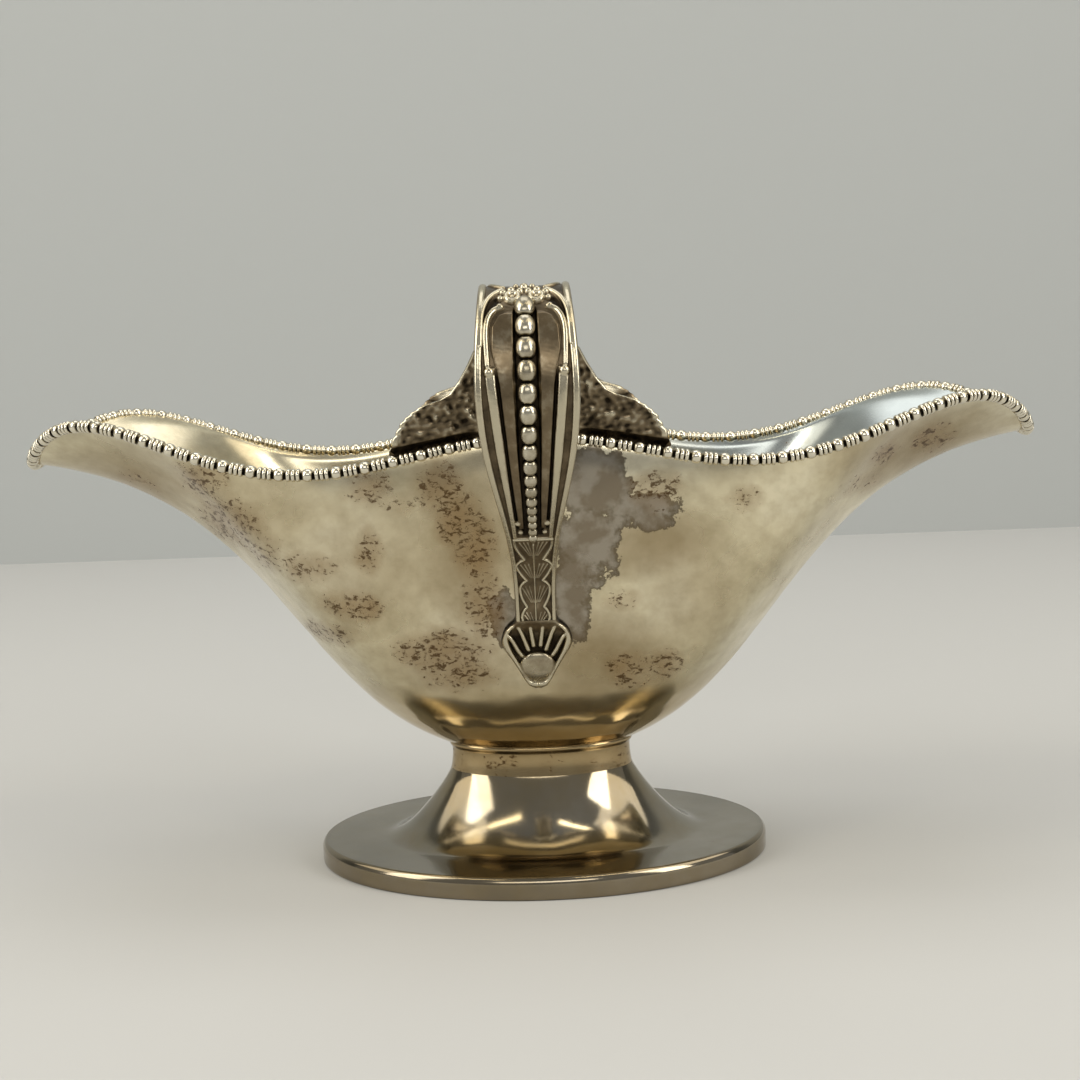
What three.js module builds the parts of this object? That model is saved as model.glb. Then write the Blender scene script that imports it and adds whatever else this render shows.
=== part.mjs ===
// Two-lipped sauce boat of sheet silver with cast handles.
// Millimetres, Z up. X runs from lip to lip, Y from handle to handle.
// The origin is on the table, under the middle of the foot.
import * as THREE from 'three';

// Fits
const solderGap = 0.3;              // room left for solder between pieces that meet on a curve

// Foot
const footHalfLength = 54.8;
const footHalfWidth = 43.1;
const footBandHeight = 4.8;
const footBandThickness = 2.2;
const footSheet = 1.1;
const flangeOverhang = 0.6;         // how far the edge band stands out past the flange above it
const neckHalfLength = 21.6;
const neckHalfWidth = 13.0;
const pedestalHeight = 16.8;        // from the top of the edge band to the collar
const flangeWidth = 14.3;           // flat outer part of the foot, at its two ends

// Collar between the foot and the bowl
const collarHeight = 6.9;
const collarLip = 0.9;              // how far the collar swells past the neck
const collarThickness = 1.6;

// Bowl
const bowlSheet = 1.1;
const bowlRise = 76.4;              // from the collar to the rim moulding, at the handles
const rimHalfLength = 120;
const rimHalfWidth = 39.7;
const rimDip = 6.8;                 // lowest point of the rim, beside each handle, below the handles
const rimCrest = 5.2;               // highest point of the rim, at the lip's shoulders, above the handles
const lipDrop = 4.8;                // middle of the pouring edge, below the handles
const dipStation = 0.416;           // places along the half length
const crestStation = 0.85;
const planFullness = 1.9;           // 2 gives a plain fourth-power oval, less gives pointed lips
// The curve up the bowl is pulled toward two points, given as shares of its length, width and height
const belly = new THREE.Vector3(0.381, 0.95, 0.193);
const sideSweep = new THREE.Vector3(1.1, 1.1, 0.923);
const lipSweep = new THREE.Vector3(0.397, 0.6, 0.88);

// Moulding soldered along the rim
const mouldingDiameter = 2.6;

// Handles
const handleRise = 33.7;            // top of the strap above the rim moulding
const handleReach = 33.3;           // outermost face of the strap beyond the rim moulding
const strapThickness = 3.0;
const strapHollow = 0.7;            // depth of the face between the raised borders
const strapBorder = 1.9;
const strapRootWidth = 20.0;
const strapTopWidth = 19.1;
const strapShoulderWidth = 21.7;
const strapWaistWidth = 9.1;
const strapApexReach = 16.3;        // apex of the strap beyond the rim moulding
const strapShoulderDrop = 20.1;     // outermost point of the strap, below its apex

// Leaf that joins each strap to the rim
const leafHeight = 18.0;
const leafHalfWidth = 30.8;
const leafShoulderHalfWidth = 21.5; // where the lobes end and the hollow curve begins
const leafThickness = 1.8;
const leafLean = 5.5;               // how far its top leans out from the rim
const leafLobeHeight = 8.0;

// Palmette that joins each strap to the side of the bowl
const palmetteBottom = 47.3;        // heights above the table
const palmetteTop = 63.5;
const palmetteWidth = 16.3;
const palmetteTipWidth = 5.0;
const palmetteThickness = 2.6;

// Row of graduated beads down each strap
const beadCount = 17;
const beadLargest = 4.1;
const beadSmallest = 2.0;
const beadPitch = 1.12;             // centre spacing, in bead diameters
const beadHeight = 0.5;             // how far a bead stands up, in bead diameters
const beadStart = 11.0;             // along the strap from its apex

// Heights that follow from those sizes
const collarBottom = footBandHeight + pedestalHeight;
const bowlBottom = collarBottom + collarHeight;
const rimAtHandle = bowlBottom + bowlRise;
const mouldingRadius = mouldingDiameter / 2;

// Smoothness
const stepsAround = 72;
const stepsUpBowl = 12;

const silver = { roughness: 0.32, metalness: 1.0 };
const warmSilver = new THREE.MeshStandardMaterial({ color: 0xb5a98a, ...silver });
const brightSilver = new THREE.MeshStandardMaterial({ color: 0xc9c2ad, ...silver });
const darkSilver = new THREE.MeshStandardMaterial({ color: 0x8c8268, ...silver, roughness: 0.4 });

// Goes from 0 to 1 with a level start and a level end.
const ease = (share) => (1 - Math.cos(Math.PI * THREE.MathUtils.clamp(share, 0, 1))) / 2;

// Signed volume of an indexed triangle mesh.
function meshVolume(points, index) {
  const sum = new THREE.Vector3();
  let volume = 0;
  for (let i = 0; i < index.length; i += 3) {
    const [a, b, c] = [points[index[i]], points[index[i + 1]], points[index[i + 2]]];
    volume += a.dot(sum.crossVectors(b, c)) / 6;
  }
  return volume;
}

// Geometry of a closed mesh, turned so that its faces point out.
function solidFrom(points, index) {
  if (meshVolume(points, index) < 0) {
    index.reverse();
  }
  const geometry = new THREE.BufferGeometry().setFromPoints(points);
  geometry.setIndex(index);
  geometry.computeVertexNormals();
  return geometry;
}

// Skin over a row of rings with equal point counts. An open row gets an end face at each end,
// a closed row joins its last ring to its first.
function loft(rings, closed = false) {
  const count = rings[0].length;
  const points = rings.flat();
  const index = [];
  const lastJoin = closed ? rings.length : rings.length - 1;
  for (let r = 0; r < lastJoin; r += 1) {
    const here = r * count;
    const next = ((r + 1) % rings.length) * count;
    for (let i = 0; i < count; i += 1) {
      const j = (i + 1) % count;
      index.push(here + i, here + j, next + j, here + i, next + j, next + i);
    }
  }
  if (!closed) {
    const middle = (ring) => ring.reduce((sum, p) => sum.add(p), new THREE.Vector3()).divideScalar(count);
    const first = points.push(middle(rings[0])) - 1;
    const last = points.push(middle(rings.at(-1))) - 1;
    const lastRing = (rings.length - 1) * count;
    for (let i = 0; i < count; i += 1) {
      const j = (i + 1) % count;
      index.push(first, j, i);
      index.push(last, lastRing + i, lastRing + j);
    }
  }
  return solidFrom(points, index);
}

// Thin sheet between two faces, each given as rows of points.
function plate(face, back) {
  const rows = face.length;
  const columns = face[0].length;
  const points = [...face.flat(), ...back.flat()];
  const index = [];
  const at = (side, row, column) => side * rows * columns + row * columns + column;
  const quad = (a, b, c, d) => index.push(a, b, c, a, c, d);
  for (let r = 0; r < rows - 1; r += 1) {
    for (let c = 0; c < columns - 1; c += 1) {
      quad(at(0, r, c), at(0, r, c + 1), at(0, r + 1, c + 1), at(0, r + 1, c));
      quad(at(1, r, c), at(1, r + 1, c), at(1, r + 1, c + 1), at(1, r, c + 1));
    }
    quad(at(0, r + 1, 0), at(1, r + 1, 0), at(1, r, 0), at(0, r, 0));
    quad(at(0, r, columns - 1), at(1, r, columns - 1), at(1, r + 1, columns - 1), at(0, r + 1, columns - 1));
  }
  for (let c = 0; c < columns - 1; c += 1) {
    quad(at(0, 0, c), at(1, 0, c), at(1, 0, c + 1), at(0, 0, c + 1));
    quad(at(0, rows - 1, c + 1), at(1, rows - 1, c + 1), at(1, rows - 1, c), at(0, rows - 1, c));
  }
  return solidFrom(points, index);
}

// One oval ring, level, with the same angles on every oval of the foot.
function ovalRing(halfLength, halfWidth, height) {
  return Array.from({ length: stepsAround }, (_, i) => {
    const angle = (2 * Math.PI * i) / stepsAround;
    return new THREE.Vector3(halfLength * Math.sin(angle), halfWidth * Math.cos(angle), height);
  });
}

// Centre line of the rim moulding. Angle 0 is over a handle, a quarter turn is a lip.
function rimPoint(angle) {
  const along = Math.sin(angle);
  const across = Math.cos(angle);
  const width = Math.sign(across) * (1 - along ** 4) ** (1 / planFullness);
  const fold = Math.asin(Math.min(1, Math.abs(along)));
  const dip = Math.asin(dipStation);
  const crest = Math.asin(crestStation);
  let height = rimAtHandle - rimDip * ease(fold / dip);
  if (fold > crest) {
    height = rimAtHandle + rimCrest - (rimCrest + lipDrop) * ease((fold - crest) / (Math.PI / 2 - crest));
  } else if (fold > dip) {
    height = rimAtHandle - rimDip + (rimDip + rimCrest) * ease((fold - dip) / (crest - dip));
  }
  return new THREE.Vector3(rimHalfLength * along, rimHalfWidth * width, height);
}

// Direction of the rim at an angle.
function rimDirection(angle) {
  const small = 0.005;
  return rimPoint(angle + small).sub(rimPoint(angle - small)).normalize();
}

// Line up the outside of the bowl at one angle: full-bellied under the handles, and drawn out into
// a long hollow sweep under the lips. The sheet meets the moulding square, one solder gap short of it.
function bowlProfile(angle) {
  const foot = new THREE.Vector3(
    (neckHalfLength + collarLip) * Math.sin(angle),
    (neckHalfWidth + collarLip) * Math.cos(angle),
    bowlBottom);
  const rim = rimPoint(angle);
  const along = rimDirection(angle);
  const towardLip = 1 - Math.cos(angle) ** 2;
  const partWay = (share) => rim.clone().sub(foot).multiply(share).add(foot);
  const lower = partWay(belly);
  const sweep = partWay(sideSweep.clone().lerp(lipSweep, towardLip));
  const rising = rim.clone().sub(sweep);
  const square = rising.addScaledVector(along, -rising.dot(along)).normalize();
  const edge = rim.clone().addScaledVector(square, -mouldingRadius - solderGap);
  return new THREE.CubicBezierCurve3(foot, lower, sweep, edge);
}

// Outward normal of the bowl's outer face.
function bowlNormal(angle, share) {
  const small = 0.01;
  const up = bowlProfile(angle).getTangent(share);
  const before = bowlProfile(angle - small).getPoint(share);
  const around = bowlProfile(angle + small).getPoint(share).sub(before);
  return around.cross(up).normalize().negate();
}

// Share between 0 and 1 at which a rising measure reaches a goal.
function shareWhere(measure, goal) {
  let low = 0;
  let high = 1;
  for (let i = 0; i < 40; i += 1) {
    const middle = (low + high) / 2;
    if (measure(middle) < goal) {
      low = middle;
    } else {
      high = middle;
    }
  }
  return low;
}

// How far the outer face of the bowl lies from the XZ plane, at a height and a place along X.
function bowlSideAt(height, x = 0) {
  const pointAt = (turn) => {
    const profile = bowlProfile((turn * Math.PI) / 2);
    return profile.getPoint(shareWhere((share) => profile.getPoint(share).z, height));
  };
  return pointAt(shareWhere((turn) => pointAt(turn).x, Math.abs(x))).y;
}

function bowl() {
  const ringAt = (step, depth) => Array.from({ length: stepsAround }, (_, i) => {
    const angle = (2 * Math.PI * i) / stepsAround;
    const profile = bowlProfile(angle);
    const share = step / stepsUpBowl;
    return profile.getPoint(share).addScaledVector(bowlNormal(angle, share), -depth);
  });
  const outside = [];
  const inside = [];
  for (let step = 0; step <= stepsUpBowl; step += 1) {
    outside.push(ringAt(step, 0));
  }
  for (let step = stepsUpBowl; step >= 1; step -= 1) {
    inside.push(ringAt(step, bowlSheet));
  }
  const floorHalfLength = neckHalfLength - bowlSheet;
  const floorHalfWidth = neckHalfWidth - bowlSheet;
  inside.push(ovalRing(floorHalfLength, floorHalfWidth, bowlBottom + bowlSheet));
  return loft([...outside, ...inside]);
}

// Half of the rim moulding, from one handle round a lip to the other handle.
function rimMoulding(side) {
  const sectionSteps = 8;
  const stations = stepsAround / 2;
  const jointAngle = solderGap / 2 / rimHalfLength;
  const rings = [];
  for (let i = 0; i <= stations; i += 1) {
    const share = i / stations;
    const angle = side * THREE.MathUtils.clamp(Math.PI * share, jointAngle, Math.PI - jointAngle);
    const centre = rimPoint(angle);
    const along = rimDirection(angle);
    const up = new THREE.Vector3(0, 0, 1).addScaledVector(along, -along.z).normalize();
    const out = new THREE.Vector3().crossVectors(along, up);
    rings.push(Array.from({ length: sectionSteps }, (_, k) => {
      const turn = (2 * Math.PI * k) / sectionSteps;
      return centre.clone()
        .addScaledVector(out, mouldingRadius * Math.cos(turn))
        .addScaledVector(up, mouldingRadius * Math.sin(turn));
    }));
  }
  return loft(rings);
}

// Oval band with a soft swell, open through the middle.
function footCollar() {
  const swell = (share) => collarLip * Math.sin((Math.PI / 2) * share);
  const outside = [0, 0.15, 0.55, 1].map((share) => ovalRing(
    neckHalfLength + swell(share), neckHalfWidth + swell(share), collarBottom + collarHeight * share));
  const insideLength = neckHalfLength - collarThickness;
  const insideWidth = neckHalfWidth - collarThickness;
  const inside = [
    ovalRing(insideLength, insideWidth, bowlBottom),
    ovalRing(insideLength, insideWidth, collarBottom),
  ];
  return loft([...outside, ...inside], true);
}

// Hollow cone from the collar down to the flat flange. Share 0 is at the neck, 1 at the foot's edge.
function pedestalProfile() {
  const flangeTop = footBandHeight + footSheet;
  const coneShare = 1 - flangeWidth / (footHalfLength - flangeOverhang - neckHalfLength);
  const top = new THREE.Vector2(0, collarBottom);
  const throat = new THREE.Vector2(coneShare * 0.11, flangeTop + (collarBottom - flangeTop) * 0.77);
  const flare = new THREE.Vector2(coneShare * 0.64, flangeTop);
  const flange = new THREE.Vector2(coneShare, flangeTop);
  return new THREE.CubicBezierCurve(top, throat, flare, flange);
}

function footPedestal() {
  const steps = 9;
  const profile = pedestalProfile();
  const growLength = footHalfLength - flangeOverhang - neckHalfLength;
  const growWidth = footHalfWidth - flangeOverhang - neckHalfWidth;
  const ringAt = (share, inset) => {
    const point = profile.getPoint(share);
    const slope = profile.getTangent(share);
    slope.x *= (growLength + growWidth) / 2;
    slope.normalize();
    const height = Math.max(footBandHeight, point.y - inset * slope.x);
    return ovalRing(neckHalfLength + growLength * point.x + inset * slope.y,
      neckHalfWidth + growWidth * point.x + inset * slope.y, height);
  };
  const edgeAt = (height) => ovalRing(
    footHalfLength - flangeOverhang, footHalfWidth - flangeOverhang, height);
  const outside = [];
  const inside = [];
  for (let step = 0; step <= steps; step += 1) {
    outside.push(ringAt(step / steps, 0));
  }
  outside.push(edgeAt(footBandHeight + footSheet));
  outside.push(edgeAt(footBandHeight));
  for (let step = steps; step >= 1; step -= 1) {
    inside.push(ringAt(step / steps, footSheet));
  }
  inside.push(ovalRing(neckHalfLength - footSheet, neckHalfWidth - footSheet, collarBottom));
  return loft([...outside, ...inside], true);
}

// Upright band that the foot stands on.
function footRimBand() {
  const softEdge = 0.5;
  const ring = (inset, height) => ovalRing(footHalfLength - inset, footHalfWidth - inset, height);
  return loft([
    ring(softEdge, 0),
    ring(0, softEdge),
    ring(0, footBandHeight - softEdge),
    ring(softEdge, footBandHeight),
    ring(footBandThickness, footBandHeight),
    ring(footBandThickness, 0),
  ], true);
}

// Handle, drawn in the plane through its middle: u is the distance from the boat's middle.
const strapRoot = new THREE.Vector2(
  rimHalfWidth + leafLean, rimAtHandle + mouldingRadius + solderGap + leafHeight + solderGap);
const strapApex = new THREE.Vector2(
  rimHalfWidth + strapApexReach, rimAtHandle + handleRise - strapThickness / 2);
const strapOutermost = new THREE.Vector2(
  rimHalfWidth + handleReach - strapThickness / 2, strapApex.y - strapShoulderDrop);
const strapEnd = new THREE.Vector2(
  bowlSideAt(palmetteTop) + solderGap + palmetteThickness / 2, palmetteTop + solderGap);

function strapPath() {
  const path = new THREE.CurvePath();
  const at = (point, outward, upward) => new THREE.Vector2(point.x + outward, point.y + upward);
  const crown = strapOutermost.x - strapApex.x;
  const drop = strapOutermost.y - strapEnd.y;
  path.add(new THREE.CubicBezierCurve(
    strapRoot, at(strapRoot, 0.08 * crown, 0.5 * (strapApex.y - strapRoot.y)),
    at(strapApex, -0.5 * (strapApex.x - strapRoot.x), 0), strapApex));
  path.add(new THREE.CubicBezierCurve(
    strapApex, at(strapApex, 0.55 * crown, 0),
    at(strapOutermost, 0, 0.55 * strapShoulderDrop), strapOutermost));
  path.add(new THREE.CubicBezierCurve(
    strapOutermost, at(strapOutermost, 0, -0.47 * drop), at(strapEnd, 0.3 * crown, 0.37 * drop), strapEnd));
  return path;
}

const strapLine = strapPath();
const [, lengthToApex, lengthToShoulder, strapLength] = [0, ...strapLine.getCurveLengths()];

function strapWidthAt(length) {
  const blend = (from, to, share) => THREE.MathUtils.lerp(from, to, ease(share));
  if (length < lengthToApex) {
    return blend(strapRootWidth, strapTopWidth, length / lengthToApex);
  }
  if (length < lengthToShoulder) {
    return blend(
      strapTopWidth, strapShoulderWidth, (length - lengthToApex) / (lengthToShoulder - lengthToApex));
  }
  const below = (length - lengthToShoulder) / (strapLength - lengthToShoulder);
  return blend(strapShoulderWidth, strapWaistWidth, below * (1.45 - 0.45 * below));
}

// Point at a place along the strap, with x across it and lift out of its face.
function onStrap(length, x, lift) {
  const starts = [0, lengthToApex, lengthToShoulder];
  const number = starts.findLastIndex((start) => length >= start);
  const curve = strapLine.curves[number];
  const share = Math.min(1, (length - starts[number]) / curve.getLength());
  const centre = curve.getPointAt(share);
  const along = curve.getTangentAt(share);
  return new THREE.Vector3(x, centre.x - along.y * lift, centre.y + along.x * lift);
}

function handleStrap() {
  const steps = 36;
  const back = -strapThickness / 2;
  const face = strapThickness / 2;
  const floor = face - strapHollow;
  const rings = [];
  for (let step = 0; step <= steps; step += 1) {
    const length = (strapLength * step) / steps;
    const half = strapWidthAt(length) / 2;
    const section = [
      [-half + 0.4, back], [half - 0.4, back], [half, back + 0.6], [half, face - 0.5],
      [half - strapBorder / 2, face], [half - strapBorder, floor],
      [-half + strapBorder, floor], [-half + strapBorder / 2, face],
      [-half, face - 0.5], [-half, back + 0.6],
    ];
    rings.push(section.map(([x, lift]) => onStrap(length, x, lift)));
  }
  for (const end of [0, steps]) {
    const height = end === 0 ? strapRoot.y : strapEnd.y;
    rings[end].forEach((point) => {
      point.z = height;
    });
  }
  return loft(rings);
}

// Places and diameters of the beads, from the large ones at the top to the small ones.
function beadPlaces() {
  const places = [];
  let length = lengthToApex + beadStart;
  for (let i = 0; i < beadCount; i += 1) {
    const diameter = THREE.MathUtils.lerp(beadLargest, beadSmallest, ease(i / (beadCount - 1)));
    places.push({ length, diameter });
    length += beadPitch * diameter;
  }
  return places;
}

function beadRow() {
  const floor = strapThickness / 2 - strapHollow + solderGap;
  const arch = 5;
  const ring = (length, width, height) => Array.from({ length: arch + 1 }, (_, k) => {
    const turn = (Math.PI * k) / arch;
    return onStrap(length, (width / 2) * Math.cos(turn), floor + height * Math.sin(turn));
  });
  const rings = [];
  for (const { length, diameter } of beadPlaces()) {
    const reach = (beadPitch * diameter) / 2;
    rings.push(ring(length - 0.9 * reach, diameter * 0.45, diameter * beadHeight * 0.45));
    rings.push(ring(length - 0.4 * reach, diameter, diameter * beadHeight));
    rings.push(ring(length + 0.4 * reach, diameter, diameter * beadHeight));
    rings.push(ring(length + 0.9 * reach, diameter * 0.45, diameter * beadHeight * 0.45));
  }
  return loft(rings);
}

// Spread leaf standing on the rim moulding. It narrows in a hollow curve to the strap's root.
function shoulderLeaf() {
  const rows = 14;
  const columns = 12;
  const base = rimAtHandle + mouldingRadius + solderGap;
  const topHalfWidth = strapRootWidth / 2 + 1;
  const lobeShare = leafLobeHeight / leafHeight;
  const halfWidthAt = (share) => {
    if (share < lobeShare) {
      return THREE.MathUtils.lerp(leafHalfWidth, leafShoulderHalfWidth, (share / lobeShare) ** 2.5);
    }
    const upper = (share - lobeShare) / (1 - lobeShare);
    return THREE.MathUtils.lerp(topHalfWidth, leafShoulderHalfWidth, (1 - upper) ** 2.2);
  };
  const pointAt = (share, across, lift) => {
    const x = across * halfWidthAt(share);
    const rim = rimPoint(Math.asin(x / rimHalfLength));
    const foot = rim.z + mouldingRadius + solderGap;
    const middle = rim.y + leafLean * share ** 2;
    return new THREE.Vector3(x, middle + lift, THREE.MathUtils.lerp(foot, base + leafHeight, share));
  };
  const side = (lift) => Array.from({ length: rows + 1 }, (_, row) => (
    Array.from({ length: columns + 1 }, (__, column) =>
      pointAt(row / rows, (2 * column) / columns - 1, lift))));
  return plate(side(leafThickness / 2), side(-leafThickness / 2));
}

// Palmette lying on the side of the bowl, with rolled sides above and a point below.
function palmette() {
  const rows = 8;
  const arch = 6;
  const widestShare = 0.25;
  const halfWidthAt = (share) => {
    if (share < widestShare) {
      return THREE.MathUtils.lerp(strapWaistWidth / 2, palmetteWidth / 2, ease(share / widestShare));
    }
    const lower = (share - widestShare) / (1 - widestShare);
    return THREE.MathUtils.lerp(palmetteWidth / 2, palmetteTipWidth / 2, ease(lower));
  };
  const rings = [];
  for (let row = 0; row <= rows; row += 1) {
    const share = row / rows;
    const height = THREE.MathUtils.lerp(palmetteTop, palmetteBottom, share);
    const half = halfWidthAt(share);
    const seatAt = (x) => bowlSideAt(height, x) + solderGap;
    const ring = [];
    for (let k = 0; k <= arch; k += 1) {
      const turn = (Math.PI * k) / arch;
      const x = half * Math.cos(turn);
      const rise = palmetteThickness * (0.35 + 0.65 * Math.sin(turn));
      ring.push(new THREE.Vector3(x, seatAt(x) + rise, height));
    }
    for (let k = -3; k <= 3; k += 1) {
      const x = (half * 0.96 * k) / 3;
      ring.push(new THREE.Vector3(x, seatAt(x), height));
    }
    rings.push(ring);
  }
  return loft(rings);
}

const boat = new THREE.Group();

function add(name, geometry, material, parent = boat) {
  const mesh = new THREE.Mesh(geometry, material);
  mesh.name = name;
  parent.add(mesh);
}

add('bowl', bowl(), warmSilver);
add('rim_moulding_right', rimMoulding(1), brightSilver);
add('rim_moulding_left', rimMoulding(-1), brightSilver);
add('foot_collar', footCollar(), warmSilver);
add('foot_pedestal', footPedestal(), warmSilver);
add('foot_rim_band', footRimBand(), brightSilver);

for (const [place, turn] of [['back', 0], ['front', Math.PI]]) {
  const handle = new THREE.Group();
  handle.rotation.z = turn;
  boat.add(handle);
  add(`handle_strap_${place}`, handleStrap(), darkSilver, handle);
  add(`bead_row_${place}`, beadRow(), brightSilver, handle);
  add(`shoulder_leaf_${place}`, shoulderLeaf(), darkSilver, handle);
  add(`palmette_${place}`, palmette(), darkSilver, handle);
}

export default boat;
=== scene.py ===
# %% [markdown]
# # A silver sauce boat with two lips
# The real object is an oval boat raised from silver sheet, with a pouring lip at each end, a
# bead-and-reel wire along its rim, a hollow oval foot and a cast scroll handle on each long side.
# A plain solid model of it already exists. This lesson dresses that model: each solid is replaced by
# a finely modelled piece of the same size, and each piece gets a procedural silver.
# Sizes stay in millimetres until a mesh is made, because a silversmith works in them. Only the room,
# the lamps and the camera are in Blender's own metres.
# X runs from lip to lip, Y from handle to handle, and Z is up.

import bmesh
import bpy
import numpy as np
from mathutils import Matrix, Vector


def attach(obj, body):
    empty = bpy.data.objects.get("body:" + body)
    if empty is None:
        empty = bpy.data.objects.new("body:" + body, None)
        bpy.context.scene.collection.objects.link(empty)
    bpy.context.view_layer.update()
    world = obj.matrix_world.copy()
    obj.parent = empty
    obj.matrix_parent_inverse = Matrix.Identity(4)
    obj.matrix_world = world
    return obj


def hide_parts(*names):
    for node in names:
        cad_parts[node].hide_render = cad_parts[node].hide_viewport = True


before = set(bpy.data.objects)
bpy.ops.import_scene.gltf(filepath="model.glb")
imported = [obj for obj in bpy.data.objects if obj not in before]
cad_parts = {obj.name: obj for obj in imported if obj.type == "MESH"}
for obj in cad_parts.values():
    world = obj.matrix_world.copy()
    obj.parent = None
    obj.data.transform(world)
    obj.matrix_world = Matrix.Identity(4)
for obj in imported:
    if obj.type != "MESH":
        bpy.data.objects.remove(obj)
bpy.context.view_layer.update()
print("solid pieces:", len(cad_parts))

# %% [markdown]
# ## A grid of points becomes a skin
# Sheet, wire and castings all have one thing in common: they can be drawn as a row of rings. The
# points could be modelled by hand, but a formula keeps every curve smooth and the two sides alike.
# `skin` joins the rings with four-sided faces. Each point may also carry marks from 0 to 1, such as
# how deep it lies in a hollow, because silver goes dark there and stays bright where hands rub it.

# %% Skin over a grid of points
MM = 0.001


def skin(name, grid, closed_rows=False, marks=None, crease=None):
    """Closed skin over rings of points, given as rows x columns x 3 in millimetres."""
    rows, columns = grid.shape[:2]
    number = np.arange(rows * columns).reshape(rows, columns)
    ring = np.hstack([number, number[:, :1]])
    if closed_rows:
        ring = np.vstack([ring, ring[:1]])
    faces = np.stack([ring[:-1, :-1], ring[:-1, 1:], ring[1:, 1:], ring[1:, :-1]], axis=-1)
    faces = faces.reshape(-1, 4).tolist()
    if not closed_rows:
        near, far = np.arange(columns // 2 - 1), columns - 1 - np.arange(columns // 2 - 1)
        for end, turn in ((number[0], 1), (number[-1], -1)):
            strip = np.stack([end[near], end[far], end[far - 1], end[near + 1]], axis=-1)
            faces += strip[:, ::turn].tolist()
    mesh = bpy.data.meshes.new(name)
    mesh.from_pydata((grid.reshape(-1, 3) * MM).tolist(), [], faces)
    for label, values in (marks or {}).items():
        layer = mesh.attributes.new(label, "FLOAT", "POINT")
        layer.data.foreach_set("value", np.broadcast_to(values, (rows, columns)).astype(np.float32).ravel())
    return finish_mesh(name, mesh, crease)


def finish_mesh(name, mesh, crease=None):
    """Turns the faces outward, shades them smooth and puts the piece in the scene."""
    shape = bmesh.new()
    shape.from_mesh(mesh)
    if shape.calc_volume(signed=True) < 0:
        bmesh.ops.reverse_faces(shape, faces=shape.faces)
        shape.to_mesh(mesh)
    shape.free()
    mesh.shade_smooth()
    if crease:
        mesh.set_sharp_from_angle(angle=np.radians(crease))
    piece = bpy.data.objects.new(name, mesh)
    bpy.context.scene.collection.objects.link(piece)
    return piece


print("skins are drawn in mm, and one mm is", MM, "m")

# %% [markdown]
# ## Each piece takes the place of a solid
# The boat moves as one, because everything on it is soldered. So every piece rides on the same body,
# stands for one solid of the plain model and takes its finish. Each of these could be written out
# again for every piece, but one function can't forget one of them.

# %% Hand a piece over to the frame
def hand_over(piece, node, finish):
    """The piece stands for a solid of the frame, and takes its finish."""
    piece.data.materials.append(finish)
    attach(piece, "root")
    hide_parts(node)
    print(f"{piece.name}: {len(piece.data.polygons)} faces for {node}")


print("solids that wait for their piece:", len(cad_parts))

# %% [markdown]
# ## Colours as a maker names them
# A colour picked from a swatch is an sRGB hex value. Blender mixes light in linear values, so one
# function turns hex into linear, and every colour in this lesson goes through it. A second small
# function adds one shader node with its settings and its links, whatever the kind of node.

# %% Colour and node helpers
def linear(hex_colour):
    """sRGB hex to the linear colour that Blender mixes."""
    parts = [int(hex_colour[i:i + 2], 16) / 255 for i in (1, 3, 5)]
    return [v / 12.92 if v <= 0.04045 else ((v + 0.055) / 1.055) ** 2.4 for v in parts] + [1.0]


def add_node(tree, kind, links=None, stops=(), **settings):
    """Adds a node. A setting goes to the node itself or to its socket of that name. A link brings
    another node's output to a socket, or a plain value."""
    node = tree.nodes.new("ShaderNode" + kind)
    if stops:
        ramp = node.color_ramp.elements
        ramp.remove(ramp[1])
        ramp[0].position, ramp[0].color = stops[0][0], linear(stops[0][1])
        for position, colour in stops[1:]:
            ramp.new(position).color = linear(colour)
    for name, value in settings.items():
        if hasattr(node, name):
            setattr(node, name, value)
        else:
            node.inputs[name.replace("_", " ")].default_value = value
    for socket, source in (links or {}).items():
        if isinstance(source, bpy.types.NodeSocket):
            tree.links.new(source, node.inputs[socket])
        else:
            node.inputs[socket].default_value = source
    return node


def per_mm(spacing):
    """Texture scale that repeats a pattern about every so many millimetres."""
    return 1 / (spacing * MM)


print("mid grey #808080 in linear light:", round(linear("#808080")[0], 3))
print("noise scale for clouds of 30 mm:", round(per_mm(30)))

# %% [markdown]
# ## Silver before its wear
# Every piece is sterling silver, so every finish starts the same way: all metal, with a pattern that
# stays fixed to the piece. A mirror-smooth metal looks like plastic, because real silver always has
# fine polishing lines and pits. They are too fine to show in the render, so they are drawn here at
# about seven tenths of a millimetre. Modelling them would need millions of faces; bump is enough, as
# they are only hundredths of a millimetre deep.

# %% Bare silver and its grain
def bare_silver(name):
    """A new material that is all metal, with its nodes, its shader and the place on the piece."""
    material = bpy.data.materials.new(name)
    material.use_nodes = True
    tree = material.node_tree
    shader = tree.nodes["Principled BSDF"]
    shader.inputs["Metallic"].default_value = 1.0
    return material, tree, shader, add_node(tree, "TexCoord").outputs["Object"]


def add_grain(tree, shader, place, spacing, depth, strength, detail):
    """Fine lines and pits in the surface, with their spacing and depth in mm."""
    grain = add_node(tree, "TexNoise", {"Vector": place}, Scale=per_mm(spacing), Detail=detail,
                     Roughness=0.7)
    bump = add_node(tree, "Bump", {"Height": grain.outputs["Fac"]}, Strength=strength,
                    Distance=depth * MM)
    tree.links.new(bump.outputs["Normal"], shader.inputs["Normal"])


print("noise scale for a grain of 0.7 mm:", round(per_mm(0.7)))

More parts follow.
